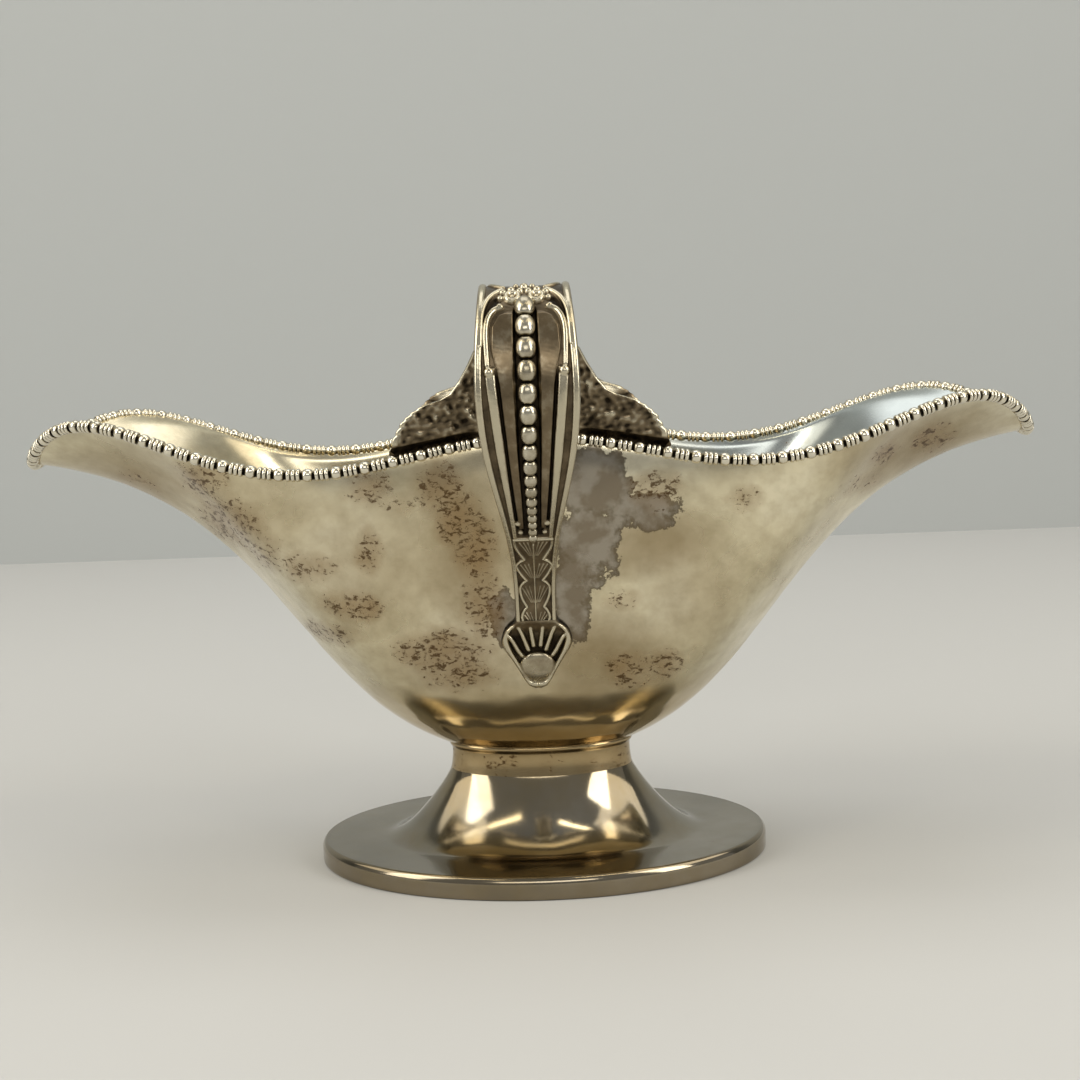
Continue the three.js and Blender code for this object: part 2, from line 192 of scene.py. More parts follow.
# %% [markdown]
# ## Raised silver sheet
# The bowl and the foot are sterling silver sheet, raised with a hammer over a stake, planished and
# polished, and then left to tarnish for years. Polished silver is nearly a mirror. Tarnish lays a
# thin warm film of sulphide over it, grey-beige to honey, in clouds a few centimetres wide. Old damp
# leaves brown-black specks a millimetre wide, in loose clusters, and a flat grey-brown stain.
# A painted picture could show this, but it would need unwrapping. Noise in millimetres, masked by
# marks on the points, puts each cloud and cluster where it belongs and works at any distance.

# %% Noises of the tarnish
# The film's three colours stand at these levels of its clouds.
CLOUD_LEVELS = (0.32, 0.5, 0.68)
# For each noise: its spacing in mm, its detail and its roughness.
TARNISH_NOISES = {
    "clouds": (30, 4.0, 0.55),
    "small_clouds": (6, 5.0, 0.6),
    "mottle": (5, 6.0, 0.65),
    "gather": (7, 3.0, 0.6),
}


def tarnish_noises(tree, place):
    """One noise node for each of the tarnish's patterns."""
    return {label: add_node(tree, "TexNoise", {"Vector": place}, Scale=per_mm(spacing), Detail=detail,
                            Roughness=roughness).outputs["Fac"]
            for label, (spacing, detail, roughness) in TARNISH_NOISES.items()}


print("tarnish noises:", ", ".join(TARNISH_NOISES))

# %% Layers of a stain and of specks
def stain_layers(tree, stain, noise):
    """A dark edge, a grey inside and brown blotches. The edge is sharp and ragged, because noise
    moves the height where the mark is cut off."""
    ragged = add_node(tree, "Math", {0: stain, 1: noise["mottle"]}, operation="ADD").outputs[0]
    edge = add_node(tree, "MapRange", {"Value": ragged}, From_Min=0.92, From_Max=0.95, To_Max=0.85)
    inside = add_node(tree, "MapRange", {"Value": ragged}, From_Min=0.96, From_Max=1.1, To_Max=0.8)
    within = add_node(tree, "MapRange", {"Value": ragged}, From_Min=0.94, From_Max=0.98)
    cloudy = add_node(tree, "MapRange", {"Value": noise["small_clouds"]}, From_Min=0.44, From_Max=0.6,
                      To_Max=0.6)
    blotch = add_node(tree, "Math", {0: within.outputs[0], 1: cloudy.outputs[0]}, operation="MULTIPLY")
    return [(edge.outputs[0], "#564B3C"), (inside.outputs[0], "#A8A092"), (blotch.outputs[0], "#72634C")]


def speck_layers(tree, place, specks, gather):
    """A brown smear, and in it dark flecks of a fine noise, wider than tall, that reach their level
    only in a cluster."""
    near = add_node(tree, "Math", {0: specks, 1: gather}, operation="ADD").outputs[0]
    smear = add_node(tree, "MapRange", {"Value": near}, From_Min=0.8, From_Max=1.5, To_Max=0.55)
    cluster = add_node(tree, "MapRange", {"Value": near}, From_Min=0.55, From_Max=1.25)
    widened = add_node(tree, "Mapping", {"Vector": place}, Scale=(1, 1, 1.5))
    fleck = add_node(tree, "TexNoise", {"Vector": widened.outputs[0]}, Scale=per_mm(1.7), Detail=6.0,
                     Roughness=0.7, Distortion=0.4)
    crowding = 0.24
    level = add_node(tree, "Math", {0: cluster.outputs[0], 1: crowding, 2: fleck.outputs["Fac"]},
                     operation="MULTIPLY_ADD")
    speck = add_node(tree, "MapRange", {"Value": level.outputs[0]}, From_Min=0.75, From_Max=0.82,
                     To_Max=0.85)
    return [(smear.outputs[0], "#8E7048"), (speck.outputs[0], "#4E3820")]


print("specks gather in clusters of about", TARNISH_NOISES["gather"][0], "mm")

# %% Finish of the sheet
SPECK_DULLING, HONEY_POLISH = 0.2, 0.25


def tarnished_sheet(name, film_colours, smooth, dull):
    """Sterling silver sheet with a warm tarnish film, specks, stains, painted shade and painted reflections
    where the marks say.
    """
    material, tree, shader, place = bare_silver(name)
    mark = {label: add_node(tree, "Attribute", attribute_name=label).outputs["Fac"]
            for label in ("honey_tint_and_warm_reflection", "haze_and_painted_shade", "painted_cool_reflection", "stain", "specks", "hollow")}
    noise = tarnish_noises(tree, place)
    film = add_node(tree, "ValToRGB", {"Fac": noise["clouds"]}, stops=list(zip(CLOUD_LEVELS, film_colours)))
    mottled = add_node(tree, "MapRange", {"Value": noise["mottle"]}, From_Min=0.38, From_Max=0.72,
                       To_Max=0.4)
    smear, speck = speck_layers(tree, place, mark["specks"], noise["gather"])
    colour = film.outputs["Color"]
    # The warm tint is partly a painted warm reflection, the blue-grey tint inside is a painted reflection,
    # and the brown film is partly painted shade.
    for share, tint in ((mottled.outputs[0], "#8F8264"), (mark["honey_tint_and_warm_reflection"], "#C8A96C"),
                        (mark["haze_and_painted_shade"], "#86704A"), (mark["painted_cool_reflection"], "#A9B4B8"),
                        *stain_layers(tree, mark["stain"], noise), smear, speck,
                        (mark["hollow"], "#2C2619")):
        colour = add_node(tree, "Mix", {0: share, 6: colour, 7: linear(tint)}, data_type="RGBA").outputs[2]
    tree.links.new(colour, shader.inputs["Base Color"])
    # Film and specks dull the polish, so roughness rises with them. The honey places keep their polish.
    shine = add_node(tree, "MapRange", {"Value": noise["clouds"]}, From_Min=CLOUD_LEVELS[0],
                     From_Max=CLOUD_LEVELS[-1], To_Min=dull, To_Max=smooth)
    worn = add_node(tree, "Math", {0: speck[0], 1: SPECK_DULLING, 2: shine.outputs[0]},
                    operation="MULTIPLY_ADD")
    rubbed = add_node(tree, "Math", {0: mark["honey_tint_and_warm_reflection"], 1: -HONEY_POLISH, 2: worn.outputs[0]},
                      operation="MULTIPLY_ADD")
    tree.links.new(rubbed.outputs[0], shader.inputs["Roughness"])
    add_grain(tree, shader, place, spacing=0.7, depth=0.02, strength=0.25, detail=3.0)
    return material


bowl_finish = tarnished_sheet("sterling_silver_raised_tarnished_painted_light", ("#CCC0A0", "#E2D7B8", "#F0E7CC"),
                              smooth=0.2, dull=0.3)
foot_finish = tarnished_sheet("sterling_silver_spun_polished", ("#837D6F", "#948D7F", "#A39C8E"),
                              smooth=0.09, dull=0.15)
print("finishes:", bowl_finish.name, "and", foot_finish.name)

# %% [markdown]
# ## Cast silver and drawn wire
# The handles, leaves and palmettes are sterling silver cast in sand or round a wax. Castings keep a
# fine grain, are oxidised brown in their hollows and rubbed bright on the edges that hands touch.
# The rim is silver wire, rolled between dies into beads and reels. It is brighter than the castings,
# as every cleaning rubs it, and almost black in the gaps that a cloth can't reach. Painted shade
# makes the gaps darker on their lower, outer side.
# Both finishes are the same idea with other colours, so one function makes them from the mark
# `hollow` that the relief left on the points, which in places also holds painted shade.

# %% Finishes of the castings and the wire
WEAR_LEVELS = (0.08, 0.42, 0.8)


def worn_silver(name, tones, smooth, rough, grain_spacing, grain_depth):
    """Sterling silver with three tones, from its bright high places to its oxidised hollows and painted
    shade.
    """
    material, tree, shader, place = bare_silver(name)
    hollow = add_node(tree, "Attribute", attribute_name="hollow")
    cloud = add_node(tree, "TexNoise", {"Vector": place}, Scale=per_mm(4), Detail=5.0, Roughness=0.65)
    shift = add_node(tree, "MapRange", {"Value": cloud.outputs["Fac"]}, From_Min=0.3, From_Max=0.7,
                     To_Min=-0.13, To_Max=0.13)
    depth = add_node(tree, "Math", {0: hollow.outputs["Fac"], 1: shift.outputs[0]}, operation="ADD",
                     use_clamp=True).outputs[0]
    tone = add_node(tree, "ValToRGB", {"Fac": depth}, stops=list(zip(WEAR_LEVELS, tones)))
    tree.links.new(tone.outputs["Color"], shader.inputs["Base Color"])
    dullness = add_node(tree, "MapRange", {"Value": depth}, To_Min=smooth, To_Max=rough)
    tree.links.new(dullness.outputs[0], shader.inputs["Roughness"])
    add_grain(tree, shader, place, grain_spacing, grain_depth, strength=0.4, detail=4.0)
    return material


casting_finish = worn_silver("sterling_silver_cast_oxidised_rubbed_painted_shade", ("#C2B9A1", "#776953", "#231D15"),
                             smooth=0.24, rough=0.42, grain_spacing=0.8, grain_depth=0.03)
wire_finish = worn_silver("sterling_silver_rolled_wire_worn_bright_painted_shade", ("#E0D9C6", "#877C62", "#120F0A"),
                          smooth=0.17, rough=0.45, grain_spacing=0.6, grain_depth=0.015)
print("finishes:", casting_finish.name, "and", wire_finish.name)

# %% [markdown]
# ## The line of the rim
# Seen from above, the rim is a pointed oval 240 mm long. Seen from the side it dips beside each
# handle, climbs to a crest at each lip's shoulder and falls again to the pouring edge. Everything
# hangs on this line: the sheet ends on it, the wire follows it and the leaves stand on it.
# It could be traced as a curve object, but one formula of an angle gives any point of it exactly.

# %% Rim line
RIM_HALF_LENGTH, RIM_HALF_WIDTH = 120.0, 39.7
PLAN_FULLNESS = 1.9
RIM_AT_HANDLE = 104.9
RIM_DIP, RIM_CREST, LIP_DROP = 6.8, 5.2, 4.8
# The dip and the crest stand at these shares of the half length.
DIP_STATION, CREST_STATION = 0.416, 0.85
DIP_FOLD, CREST_FOLD = np.arcsin(DIP_STATION), np.arcsin(CREST_STATION)


def ease(share):
    """From 0 to 1 with a level start and a level end."""
    return (1 - np.cos(np.pi * np.clip(share, 0, 1))) / 2


def points(x, y, z):
    """Joins coordinates of any matching shapes into points."""
    return np.stack(np.broadcast_arrays(x, y, z), axis=-1).astype(float)


def rim_point(angle):
    """Middle of the rim wire. Angle 0 is over the back handle, a quarter turn is the right lip."""
    along, across = np.sin(angle), np.cos(angle)
    width = np.sign(across) * np.clip(1 - along ** 4, 0, 1) ** (1 / PLAN_FULLNESS)
    fold = np.arcsin(np.clip(np.abs(along), 0, 1))
    dip_height, crest_height = RIM_AT_HANDLE - RIM_DIP, RIM_AT_HANDLE + RIM_CREST
    to_dip = RIM_AT_HANDLE - RIM_DIP * ease(fold / DIP_FOLD)
    to_crest = dip_height + (RIM_DIP + RIM_CREST) * ease((fold - DIP_FOLD) / (CREST_FOLD - DIP_FOLD))
    to_lip = crest_height - (RIM_CREST + LIP_DROP) * ease((fold - CREST_FOLD) / (np.pi / 2 - CREST_FOLD))
    height = np.where(fold < DIP_FOLD, to_dip, np.where(fold < CREST_FOLD, to_crest, to_lip))
    return points(RIM_HALF_LENGTH * along, RIM_HALF_WIDTH * width, height)


def unit(vectors):
    """Vectors of length 1 in the same directions."""
    return vectors / np.linalg.norm(vectors, axis=-1, keepdims=True)


def rim_direction(angle, step=0.005):
    """Direction of the rim, from two points close by."""
    return unit(rim_point(angle + step) - rim_point(angle - step))


print("rim heights at handle, dip and lip:",
      rim_point(np.array([0.0, DIP_FOLD, np.pi / 2]))[:, 2].round(1))

# %% [markdown]
# ## The bowl
# A silversmith raises the bowl from one flat disc, so its wall is one even sheet, a little over a
# millimetre thick, with the soft unevenness of the planishing hammer. Each line up the wall is a
# cubic curve: full under the handles, and drawn out into a long hollow sweep under the lips.
# A subdivision cage could give the shape, but the lip's sweep is easier to steer as a curve whose
# two pull points turn smoothly from those of the side into those of the lip.

# %% Wall of the bowl
NECK_HALF_LENGTH, NECK_HALF_WIDTH = 21.6, 13.0
COLLAR_LIP = 0.9
BOWL_BOTTOM = 28.5
SHEET = 1.1
EDGE_SHORT = 0.35
# The pull points of the wall, as shares of the way from the foot to the rim in x, y and z.
BELLY = np.array([0.381, 0.95, 0.193])
SIDE_SWEEP, LIP_SWEEP = np.array([1.1, 1.1, 0.923]), np.array([0.397, 0.6, 0.88])


def cubic(s, a, b, c, d):
    """Cubic curve that runs from a to d and is pulled toward b and c."""
    return (1 - s) ** 3 * a + 3 * s * (1 - s) ** 2 * b + 3 * s ** 2 * (1 - s) * c + s ** 3 * d


def bowl_wall(angle, share):
    """Points of the outer face, one row for each angle. The edge stops short of the wire's middle."""
    foot = points((NECK_HALF_LENGTH + COLLAR_LIP) * np.sin(angle),
                  (NECK_HALF_WIDTH + COLLAR_LIP) * np.cos(angle), BOWL_BOTTOM)
    rim, along = rim_point(angle), rim_direction(angle)
    lipward = (1 - np.cos(angle) ** 2)[:, None]
    belly = foot + (rim - foot) * BELLY
    sweep = foot + (rim - foot) * (SIDE_SWEEP + (LIP_SWEEP - SIDE_SWEEP) * lipward)
    rising = rim - sweep
    square = unit(rising - along * np.sum(rising * along, axis=-1, keepdims=True))
    edge = rim - square * EDGE_SHORT
    return cubic(share[None, :, None], *(corner[:, None, :] for corner in (foot, belly, sweep, edge)))


def bowl_out(angle, share, up_step=0.002, turn_step=0.01):
    """Outward direction of the outer face, from four points close by."""
    up = bowl_wall(angle, share + up_step) - bowl_wall(angle, share - up_step)
    around = bowl_wall(angle + turn_step, share) - bowl_wall(angle - turn_step, share)
    return unit(np.cross(up, around))


print("half way up the wall, below a handle and below a lip:",
      bowl_wall(np.array([0, np.pi / 2]), np.array([0.5]))[:, 0].round(1).tolist())

# %% Soft unevenness left by hand tools
def waves(place, spacing, seed, count=14):
    """Sum of even waves in seeded directions, mostly between -1 and 1, for soft irregular relief."""
    dice = np.random.default_rng(seed)
    total = np.zeros(place.shape[:-1])
    for _ in range(count):
        direction = unit(dice.normal(size=3))
        rate = dice.uniform(0.7, 1.5) / spacing
        total += np.sin(2 * np.pi * rate * (place @ direction) + dice.uniform(0, 2 * np.pi))
    return total / np.sqrt(count)


print("highest of a row of waves:", waves(points(np.arange(200), 0, 0), 16, 3).max().round(2))

# %% [markdown]
# ## Where the tarnish sits
# Tarnish isn't even: specks gather where damp stood, the stain runs down beside the handle, and a
# brown film lies beside the handles, toward the lips and inside, partly tarnish and partly painted
# shade. The marks could be painted on the mesh by hand. Here each is an oval spot with a place and a
# size in mm, so one number moves it, and the finish frays its edge.

# %% Spots of tarnish
# Each spot of the near side is (x, height, half length, half height, strength), in mm.
SPECKS = [(-92, 96, 10, 6, 0.6), (-75, 97, 11, 8, 0.9), (-70, 87, 13, 10, 1.0), (-62, 80, 9, 9, 0.8),
          (-52, 77, 11, 6, 0.8), (-43, 68, 9, 6, 0.9), (-38, 67, 5, 5, 1.0), (-48, 60, 13, 5, 0.9),
          (-37, 80, 5, 8, 0.8), (-36, 95, 9, 6, 0.9), (-30, 91, 7, 5, 0.7), (-21, 95, 9, 9, 1.0),
          (-17, 88, 8, 9, 1.0), (-13, 80, 7, 11, 1.0), (-12, 66, 7, 16, 0.9), (-20, 56, 13, 9, 1.0),
          (-29, 57, 7, 6, 0.9), (-18, 50, 13, 6, 0.9), (28, 92, 9, 7, 0.8), (47, 90, 7, 5, 0.7),
          (19, 67, 7, 4, 0.7), (22, 50, 11, 7, 0.9), (29, 51, 7, 6, 0.9), (82, 97, 6, 5, 0.9),
          (94, 100, 9, 6, 0.9), (77, 90, 9, 5, 0.6)]
STAINS = [(14, 94, 13, 13, 0.8), (25, 87.5, 13, 6.5, 0.75), (12, 81, 11, 15, 0.8),
          (8, 67, 7, 16, 0.75), (-7, 64, 6, 12, 0.7)]
HAZE_AND_PAINTED_SHADE = [(27, 80, 18, 10, 0.65), (14, 54, 20, 14, 0.65), (-14, 80, 14, 26, 0.65), (-18, 54, 20, 12, 0.5),
        (-38, 76, 24, 18, 0.35), (34, 70, 14, 16, 0.3), (-66, 88, 22, 14, 0.3), (-97, 94, 26, 13, 0.65),
        (92, 97, 30, 14, 0.7)]
FOOT_SPECKS = [(-34, 9, 12, 5, 0.35), (16, 10, 9, 5, 0.4), (40, 7, 9, 4, 0.3)]
FAR_SHIFT, FAR_STRENGTH = 7, 0.8


def patches(place, spots):
    """Mark that is highest at each spot of the near side and fades out at its edge. The far side
    gets the same spots, turned about, shifted and fainter."""
    far = place[..., 1] > 0
    x = np.where(far, -place[..., 0] - FAR_SHIFT, place[..., 0])
    mark = np.zeros(x.shape)
    for at, height, half_length, half_height, strength in spots:
        gap = ((x - at) / half_length) ** 2 + ((place[..., 2] - height) / half_height) ** 2
        mark = np.maximum(mark, strength * np.clip(1 - gap, 0, 1))
    return mark * np.where(far, FAR_STRENGTH, 1.0)


print("spots on the bowl:", len(SPECKS), "specked,", len(STAINS), "stained,", len(HAZE_AND_PAINTED_SHADE), "hazed")

# %% Bowl mesh with its tarnish marks
EDGE_THINNING = 0.75
# Height, spacing and seed of the hammer's soft dents.
DENTS = ((0.055, 16, 3), (0.02, 6, 4))


def bowl_rings():
    """Rings up the outer face, down the inner one and across the floor, and which of them are inside."""
    around, up = np.linspace(0, 2 * np.pi, 384, endpoint=False), np.linspace(0, 1, 80)
    wall, out = bowl_wall(around, up), bowl_out(around, up)
    dents = sum(height * waves(wall, spacing, seed) for height, spacing, seed in DENTS)
    fading = np.minimum(1, np.minimum(up, 1 - up) * 8)
    outer = wall + out * (dents * fading)[..., None]
    thickness = SHEET - EDGE_THINNING * ease((up[1:] - 0.9) / 0.09)
    inner = wall[:, 1:] - out[:, 1:] * thickness[:, None]
    floor_edge = points((NECK_HALF_LENGTH - SHEET) * np.sin(around),
                        (NECK_HALF_WIDTH - SHEET) * np.cos(around), BOWL_BOTTOM + SHEET)
    floor = np.array([floor_edge * [s, s, 1] for s in (1, 0.75, 0.5, 0.25, 0.02)])
    rings = np.concatenate([outer.swapaxes(0, 1), inner.swapaxes(0, 1)[::-1], floor])
    return rings, (np.arange(len(rings)) >= len(up))[:, None]


def bowl_marks(rings, inside):
    """Where the bowl is specked, stained, hazed, dark, or given painted shade and painted reflections."""
    height = rings[..., 2]
    honey_middle, honey_reach = 33, 15
    return {
        "specks": patches(rings, SPECKS) * np.where(inside, 0.4, 1.0),
        "stain": patches(rings, STAINS) * np.where(inside, 0.0, 1.0),
        # Brown film, partly tarnish and partly painted shade, fainter inside.
        "haze_and_painted_shade": patches(rings, HAZE_AND_PAINTED_SHADE) * np.where(inside, 0.5, 1.0),
        # Warm tint low on the bowl, partly a painted warm reflection that lightens the wall where it
        # reflects the dark foot.
        "honey_tint_and_warm_reflection": 0.75 * np.clip(1 - np.abs(height - honey_middle) / honey_reach, 0, 1),
        # Blue-grey tint inside toward the right lip, a painted reflection.
        "painted_cool_reflection": 0.8 * inside * np.clip(rings[..., 0] / 50, 0, 1),
        "hollow": np.clip(0.6 - (height - BOWL_BOTTOM) / 0.5, 0, 0.25),
    }


bowl_grid, bowl_inside = bowl_rings()
bowl = skin("raised_bowl", bowl_grid, marks=bowl_marks(bowl_grid, bowl_inside))
hand_over(bowl, "bowl", bowl_finish)

# %% [markdown]
# ## The bead-and-reel wire
# The wire on the rim repeats every 6.4 mm: one round bead, then three thin reels like coins on edge.
# It covers the cut edge of the sheet and stiffens it. An array of small objects would need bending
# round the rim; a ring whose radius follows the pattern does it in one skin, and stays one wire, as
# it is in silver. It comes in two lengths that meet under the handles.

# %% Pattern of the wire
BEAD_AND_REEL = 6.4
WIRE_CORE = 1.0
BEAD_AT, BEAD_HALF, BEAD_RADIUS = 1.45, 1.38, 1.5
BEAD_SEAT = 0.03
REEL_STARTS = (3.1, 4.2, 5.3)
# Places along a reel and the radius there.
REEL = ((0, WIRE_CORE), (0.05, 1.28), (0.2, 1.45), (0.7, 1.45), (0.85, 1.28), (0.9, WIRE_CORE))


def wire_pattern():
    """Places along one repeat and the radius at each."""
    turn = np.radians(np.linspace(22, 158, 13))
    places = [BEAD_AT - BEAD_HALF - BEAD_SEAT, *(BEAD_AT - BEAD_HALF * np.cos(turn)),
              BEAD_AT + BEAD_HALF + BEAD_SEAT]
    radii = [WIRE_CORE, *np.maximum(WIRE_CORE, BEAD_RADIUS * np.sin(turn) ** 0.75), WIRE_CORE]
    for start in REEL_STARTS:
        places += [start + along for along, _ in REEL]
        radii += [radius for _, radius in REEL]
    return np.array(places), np.array(radii)


print("wire pattern:", len(wire_pattern()[0]), "rings in", BEAD_AND_REEL, "mm")

# %% Rim wire in two lengths
SEAM_ANGLE = 0.0013


def run_along(line):
    """Length along a line of points, at each of them."""
    return np.concatenate([[0], np.cumsum(np.linalg.norm(np.diff(line, axis=0), axis=1))])


def rim_wire(side):
    """Half of the rim wire, from one handle round a lip to the other."""
    fine = side * np.linspace(SEAM_ANGLE, np.pi - SEAM_ANGLE, 6001)
    run = run_along(rim_point(fine))
    repeats = round(run[-1] / BEAD_AND_REEL)
    places, radii = wire_pattern()
    length = (np.arange(repeats)[:, None] + places[None, :] / BEAD_AND_REEL).ravel() * run[-1] / repeats
    length = np.concatenate([[0], length, [run[-1]]])
    radius = np.concatenate([[WIRE_CORE], np.tile(radii, repeats), [WIRE_CORE]])
    angle = np.interp(length, run, fine)
    centre, along = rim_point(angle), rim_direction(angle)
    rise = unit(np.array([0, 0, 1.0]) - along * along[:, 2:3])
    sideways = np.cross(along, rise)
    turn = np.linspace(0, 2 * np.pi, 20, endpoint=False)
    ring = (sideways[:, None] * np.cos(turn)[None, :, None] + rise[:, None] * np.sin(turn)[None, :, None])
    grid = centre[:, None] + ring * radius[:, None, None]
    # The gaps are dark, and painted shade makes them darker below and outside than above and inside.
    painted_shade_below_outside = np.clip(0.65 - 0.45 * (np.cos(turn) + np.sin(turn)), 0.25, 1)
    depth = np.clip((1.32 - radius) / 0.3, 0, 1)[:, None] * painted_shade_below_outside
    print(f"wire: {repeats} repeats in {run[-1]:.0f} mm")
    return grid, depth


for side, name in ((1, "right"), (-1, "left")):
    grid, depth = rim_wire(side)
    wire = skin(f"bead_and_reel_{name}", grid, marks={"hollow": depth}, crease=50)
    hand_over(wire, f"rim_moulding_{name}", wire_finish)

# %% [markdown]
# ## The foot
# The foot is one piece of sheet, spun or hammered over an oval stake: a steep hollow cone that turns
# out quickly into a wide, flat flange. An edge band is soldered round the flange, with its top edge
# rounded, so that the boat stands on a clean line, and a small collar covers the joint to the bowl.
# A lathe's screw would only give round rings, and these are oval. So one helper draws a ring of any
# section: how far out from the oval, and how high.

# %% Oval rings of any section
FOOT_HALF_LENGTH, FOOT_HALF_WIDTH = 54.8, 43.1
COLLAR_BOTTOM = 21.6


def oval_rings(half_length, half_width, heights, count=288):
    """Level ovals, one for each entry."""
    turn = np.linspace(0, 2 * np.pi, count, endpoint=False)
    half_length, half_width, heights = (np.array(v)[:, None] for v in (half_length, half_width, heights))
    return points(half_length * np.sin(turn), half_width * np.cos(turn), heights)


def band_of(section, half_length, half_width):
    """Closed ring with a section of (outward, height) pairs round an oval."""
    outward, heights = np.array(section, float).T
    return oval_rings(half_length + outward, half_width + outward, heights)


print("oval of the foot:", 2 * FOOT_HALF_LENGTH, "by", 2 * FOOT_HALF_WIDTH, "mm")

# %% Collar
COLLAR_SECTION = [(-1.6, 21.5), (0.74, 21.5), (0.66, 22.0), (0.46, 23.2), (0.3, 24.6), (0.24, 26.0),
                  (0.28, 26.9), (0.42, 27.3), (0.72, 27.55), (0.86, 27.9), (0.86, 28.3), (0.7, 28.6),
                  (-1.6, 28.6)]
collar_heights = np.array(COLLAR_SECTION)[:, 1:]
collar_marks = {
    "hollow": np.interp(collar_heights, [26.9, 27.3, 27.5], [0, 0.25, 0]),
    "honey_tint_and_warm_reflection": 0.35,
    "specks": 0.55,
    "haze_and_painted_shade": 0.6,
}
collar = skin("collar_under_bowl", band_of(COLLAR_SECTION, NECK_HALF_LENGTH, NECK_HALF_WIDTH),
              closed_rows=True, marks=collar_marks, crease=60)
hand_over(collar, "foot_collar", bowl_finish)

# %% Cone and flange
FLANGE_TOP = 5.35
FLANGE_INSET = 1.0
CONE_TOP = COLLAR_BOTTOM + 0.1
NECK_FLARE = 0.023
# The cone takes this share of the reach and this share of the steps, and the flat flange the rest.
CONE_SHARE, CONE_STEPS = 0.56, 0.75
# Points of the cone's curve: reach as a share of the cone's, height as a share of its rise.
CONE_CURVE = [(NECK_FLARE / CONE_SHARE, 1), (0.4 / 3, 0.77), (0.64, 0), (1, 0)]
EDGE_INSET, EDGE_HEIGHT = 1.1, 4.9
FOOT_DENT, FOOT_DENT_SPACING = 0.05, 13


def foot_profile(share):
    """Reach (0 at the neck, 1 at the edge) and height of the foot's upper face."""
    reach, rise = cubic(np.minimum(share / CONE_STEPS, 1)[:, None], *np.array(CONE_CURVE)).T
    on_flange = np.clip((share - CONE_STEPS) / (1 - CONE_STEPS), 0, 1)
    return (CONE_SHARE * reach + (1 - CONE_SHARE) * on_flange,
            FLANGE_TOP + (CONE_TOP - FLANGE_TOP) * rise)


def foot_rings():
    """Rings down the upper face, round the edge and up the lower face, and the reach of each."""
    reach, height = foot_profile(np.linspace(0, 1, 48))
    grow_length = FOOT_HALF_LENGTH - FLANGE_INSET - NECK_HALF_LENGTH
    grow_width = FOOT_HALF_WIDTH - FLANGE_INSET - NECK_HALF_WIDTH
    half_length, half_width = NECK_HALF_LENGTH + grow_length * reach, NECK_HALF_WIDTH + grow_width * reach
    slope = np.gradient(height, reach * (grow_length + grow_width) / 2)
    inward, down = SHEET * slope / np.hypot(1, slope), SHEET / np.hypot(1, slope)
    upper = oval_rings(half_length, half_width, height)
    edge = oval_rings([FOOT_HALF_LENGTH - EDGE_INSET], [FOOT_HALF_WIDTH - EDGE_INSET], [EDGE_HEIGHT])
    # The lower face starts two rings in from the edge, which leaves room to turn round it.
    lower = oval_rings(half_length + inward, half_width + inward, height - down)[::-1][2:]
    rings = np.concatenate([upper, edge, lower])
    from_neck = np.concatenate([reach, [1.0], reach[::-1][2:]])[:, None]
    rings[..., 2] += FOOT_DENT * waves(rings, FOOT_DENT_SPACING, 8) * np.sin(np.pi * from_neck) ** 0.5
    return rings, from_neck


foot_grid, from_neck = foot_rings()
foot_marks = {
    "specks": patches(foot_grid, FOOT_SPECKS),
    "honey_tint_and_warm_reflection": 0.2 * np.clip(1 - from_neck / 0.3, 0, 1),
    "hollow": np.interp(from_neck, [0, 0.03, 0.98, 1], [0.15, 0, 0, 0.12]),
}
foot = skin("trumpet_foot", foot_grid, closed_rows=True, marks=foot_marks, crease=70)
hand_over(foot, "foot_pedestal", foot_finish)

# %% Edge band
BAND_SECTION = [(-2.2, 0), (-0.7, 0), (-0.3, 0.08), (-0.07, 0.35), (0, 0.8), (0, 1.6), (-0.03, 2.4),
                (0, 3.2), (0, 3.7), (-0.09, 4.2), (-0.3, 4.7), (-0.62, 5.1), (-1.0, 5.34),
                (-1.6, 5.3), (-2.2, 4.9)]
# Its underside, where it stands on the floor, is darker.
underside = np.array([0.6, 0.4] + [0.0] * (len(BAND_SECTION) - 2))[:, None]
band = skin("foot_edge_band", band_of(BAND_SECTION, FOOT_HALF_LENGTH, FOOT_HALF_WIDTH), closed_rows=True,
            marks={"hollow": underside, "haze_and_painted_shade": 0.25}, crease=60)
hand_over(band, "foot_rim_band", foot_finish)

# %% [markdown]
# ## The handle's line
# The strap leaves the leaf on the rim, turns over well above it, bulges out and comes back to the
# wall of the bowl. Three cubic curves in the plane of the handle draw it. A curve object with a
# bevel would do for a plain strap, but to carve its face, every place on it needs an address: the
# length along the strap and the distance across it.

# %% Path of the strap
# Each point is (distance from the middle of the boat, height).
ROOT, APEX = np.array([45.2, 124.8]), np.array([56.0, 137.1])
OUTERMOST, END = np.array([71.5, 117.0]), np.array([37.01, 63.8])
CROWN, DROP = OUTERMOST[0] - APEX[0], OUTERMOST[1] - END[1]
SHOULDER_DROP = APEX[1] - OUTERMOST[1]
STRAP_CURVES = [
    (ROOT, ROOT + [0.08 * CROWN, 6.15], APEX + [-5.4, 0], APEX),
    (APEX, APEX + [0.55 * CROWN, 0], OUTERMOST + [0, 0.55 * SHOULDER_DROP], OUTERMOST),
    (OUTERMOST, OUTERMOST + [0, -0.47 * DROP], END + [0.3 * CROWN, 0.37 * DROP], END),
]


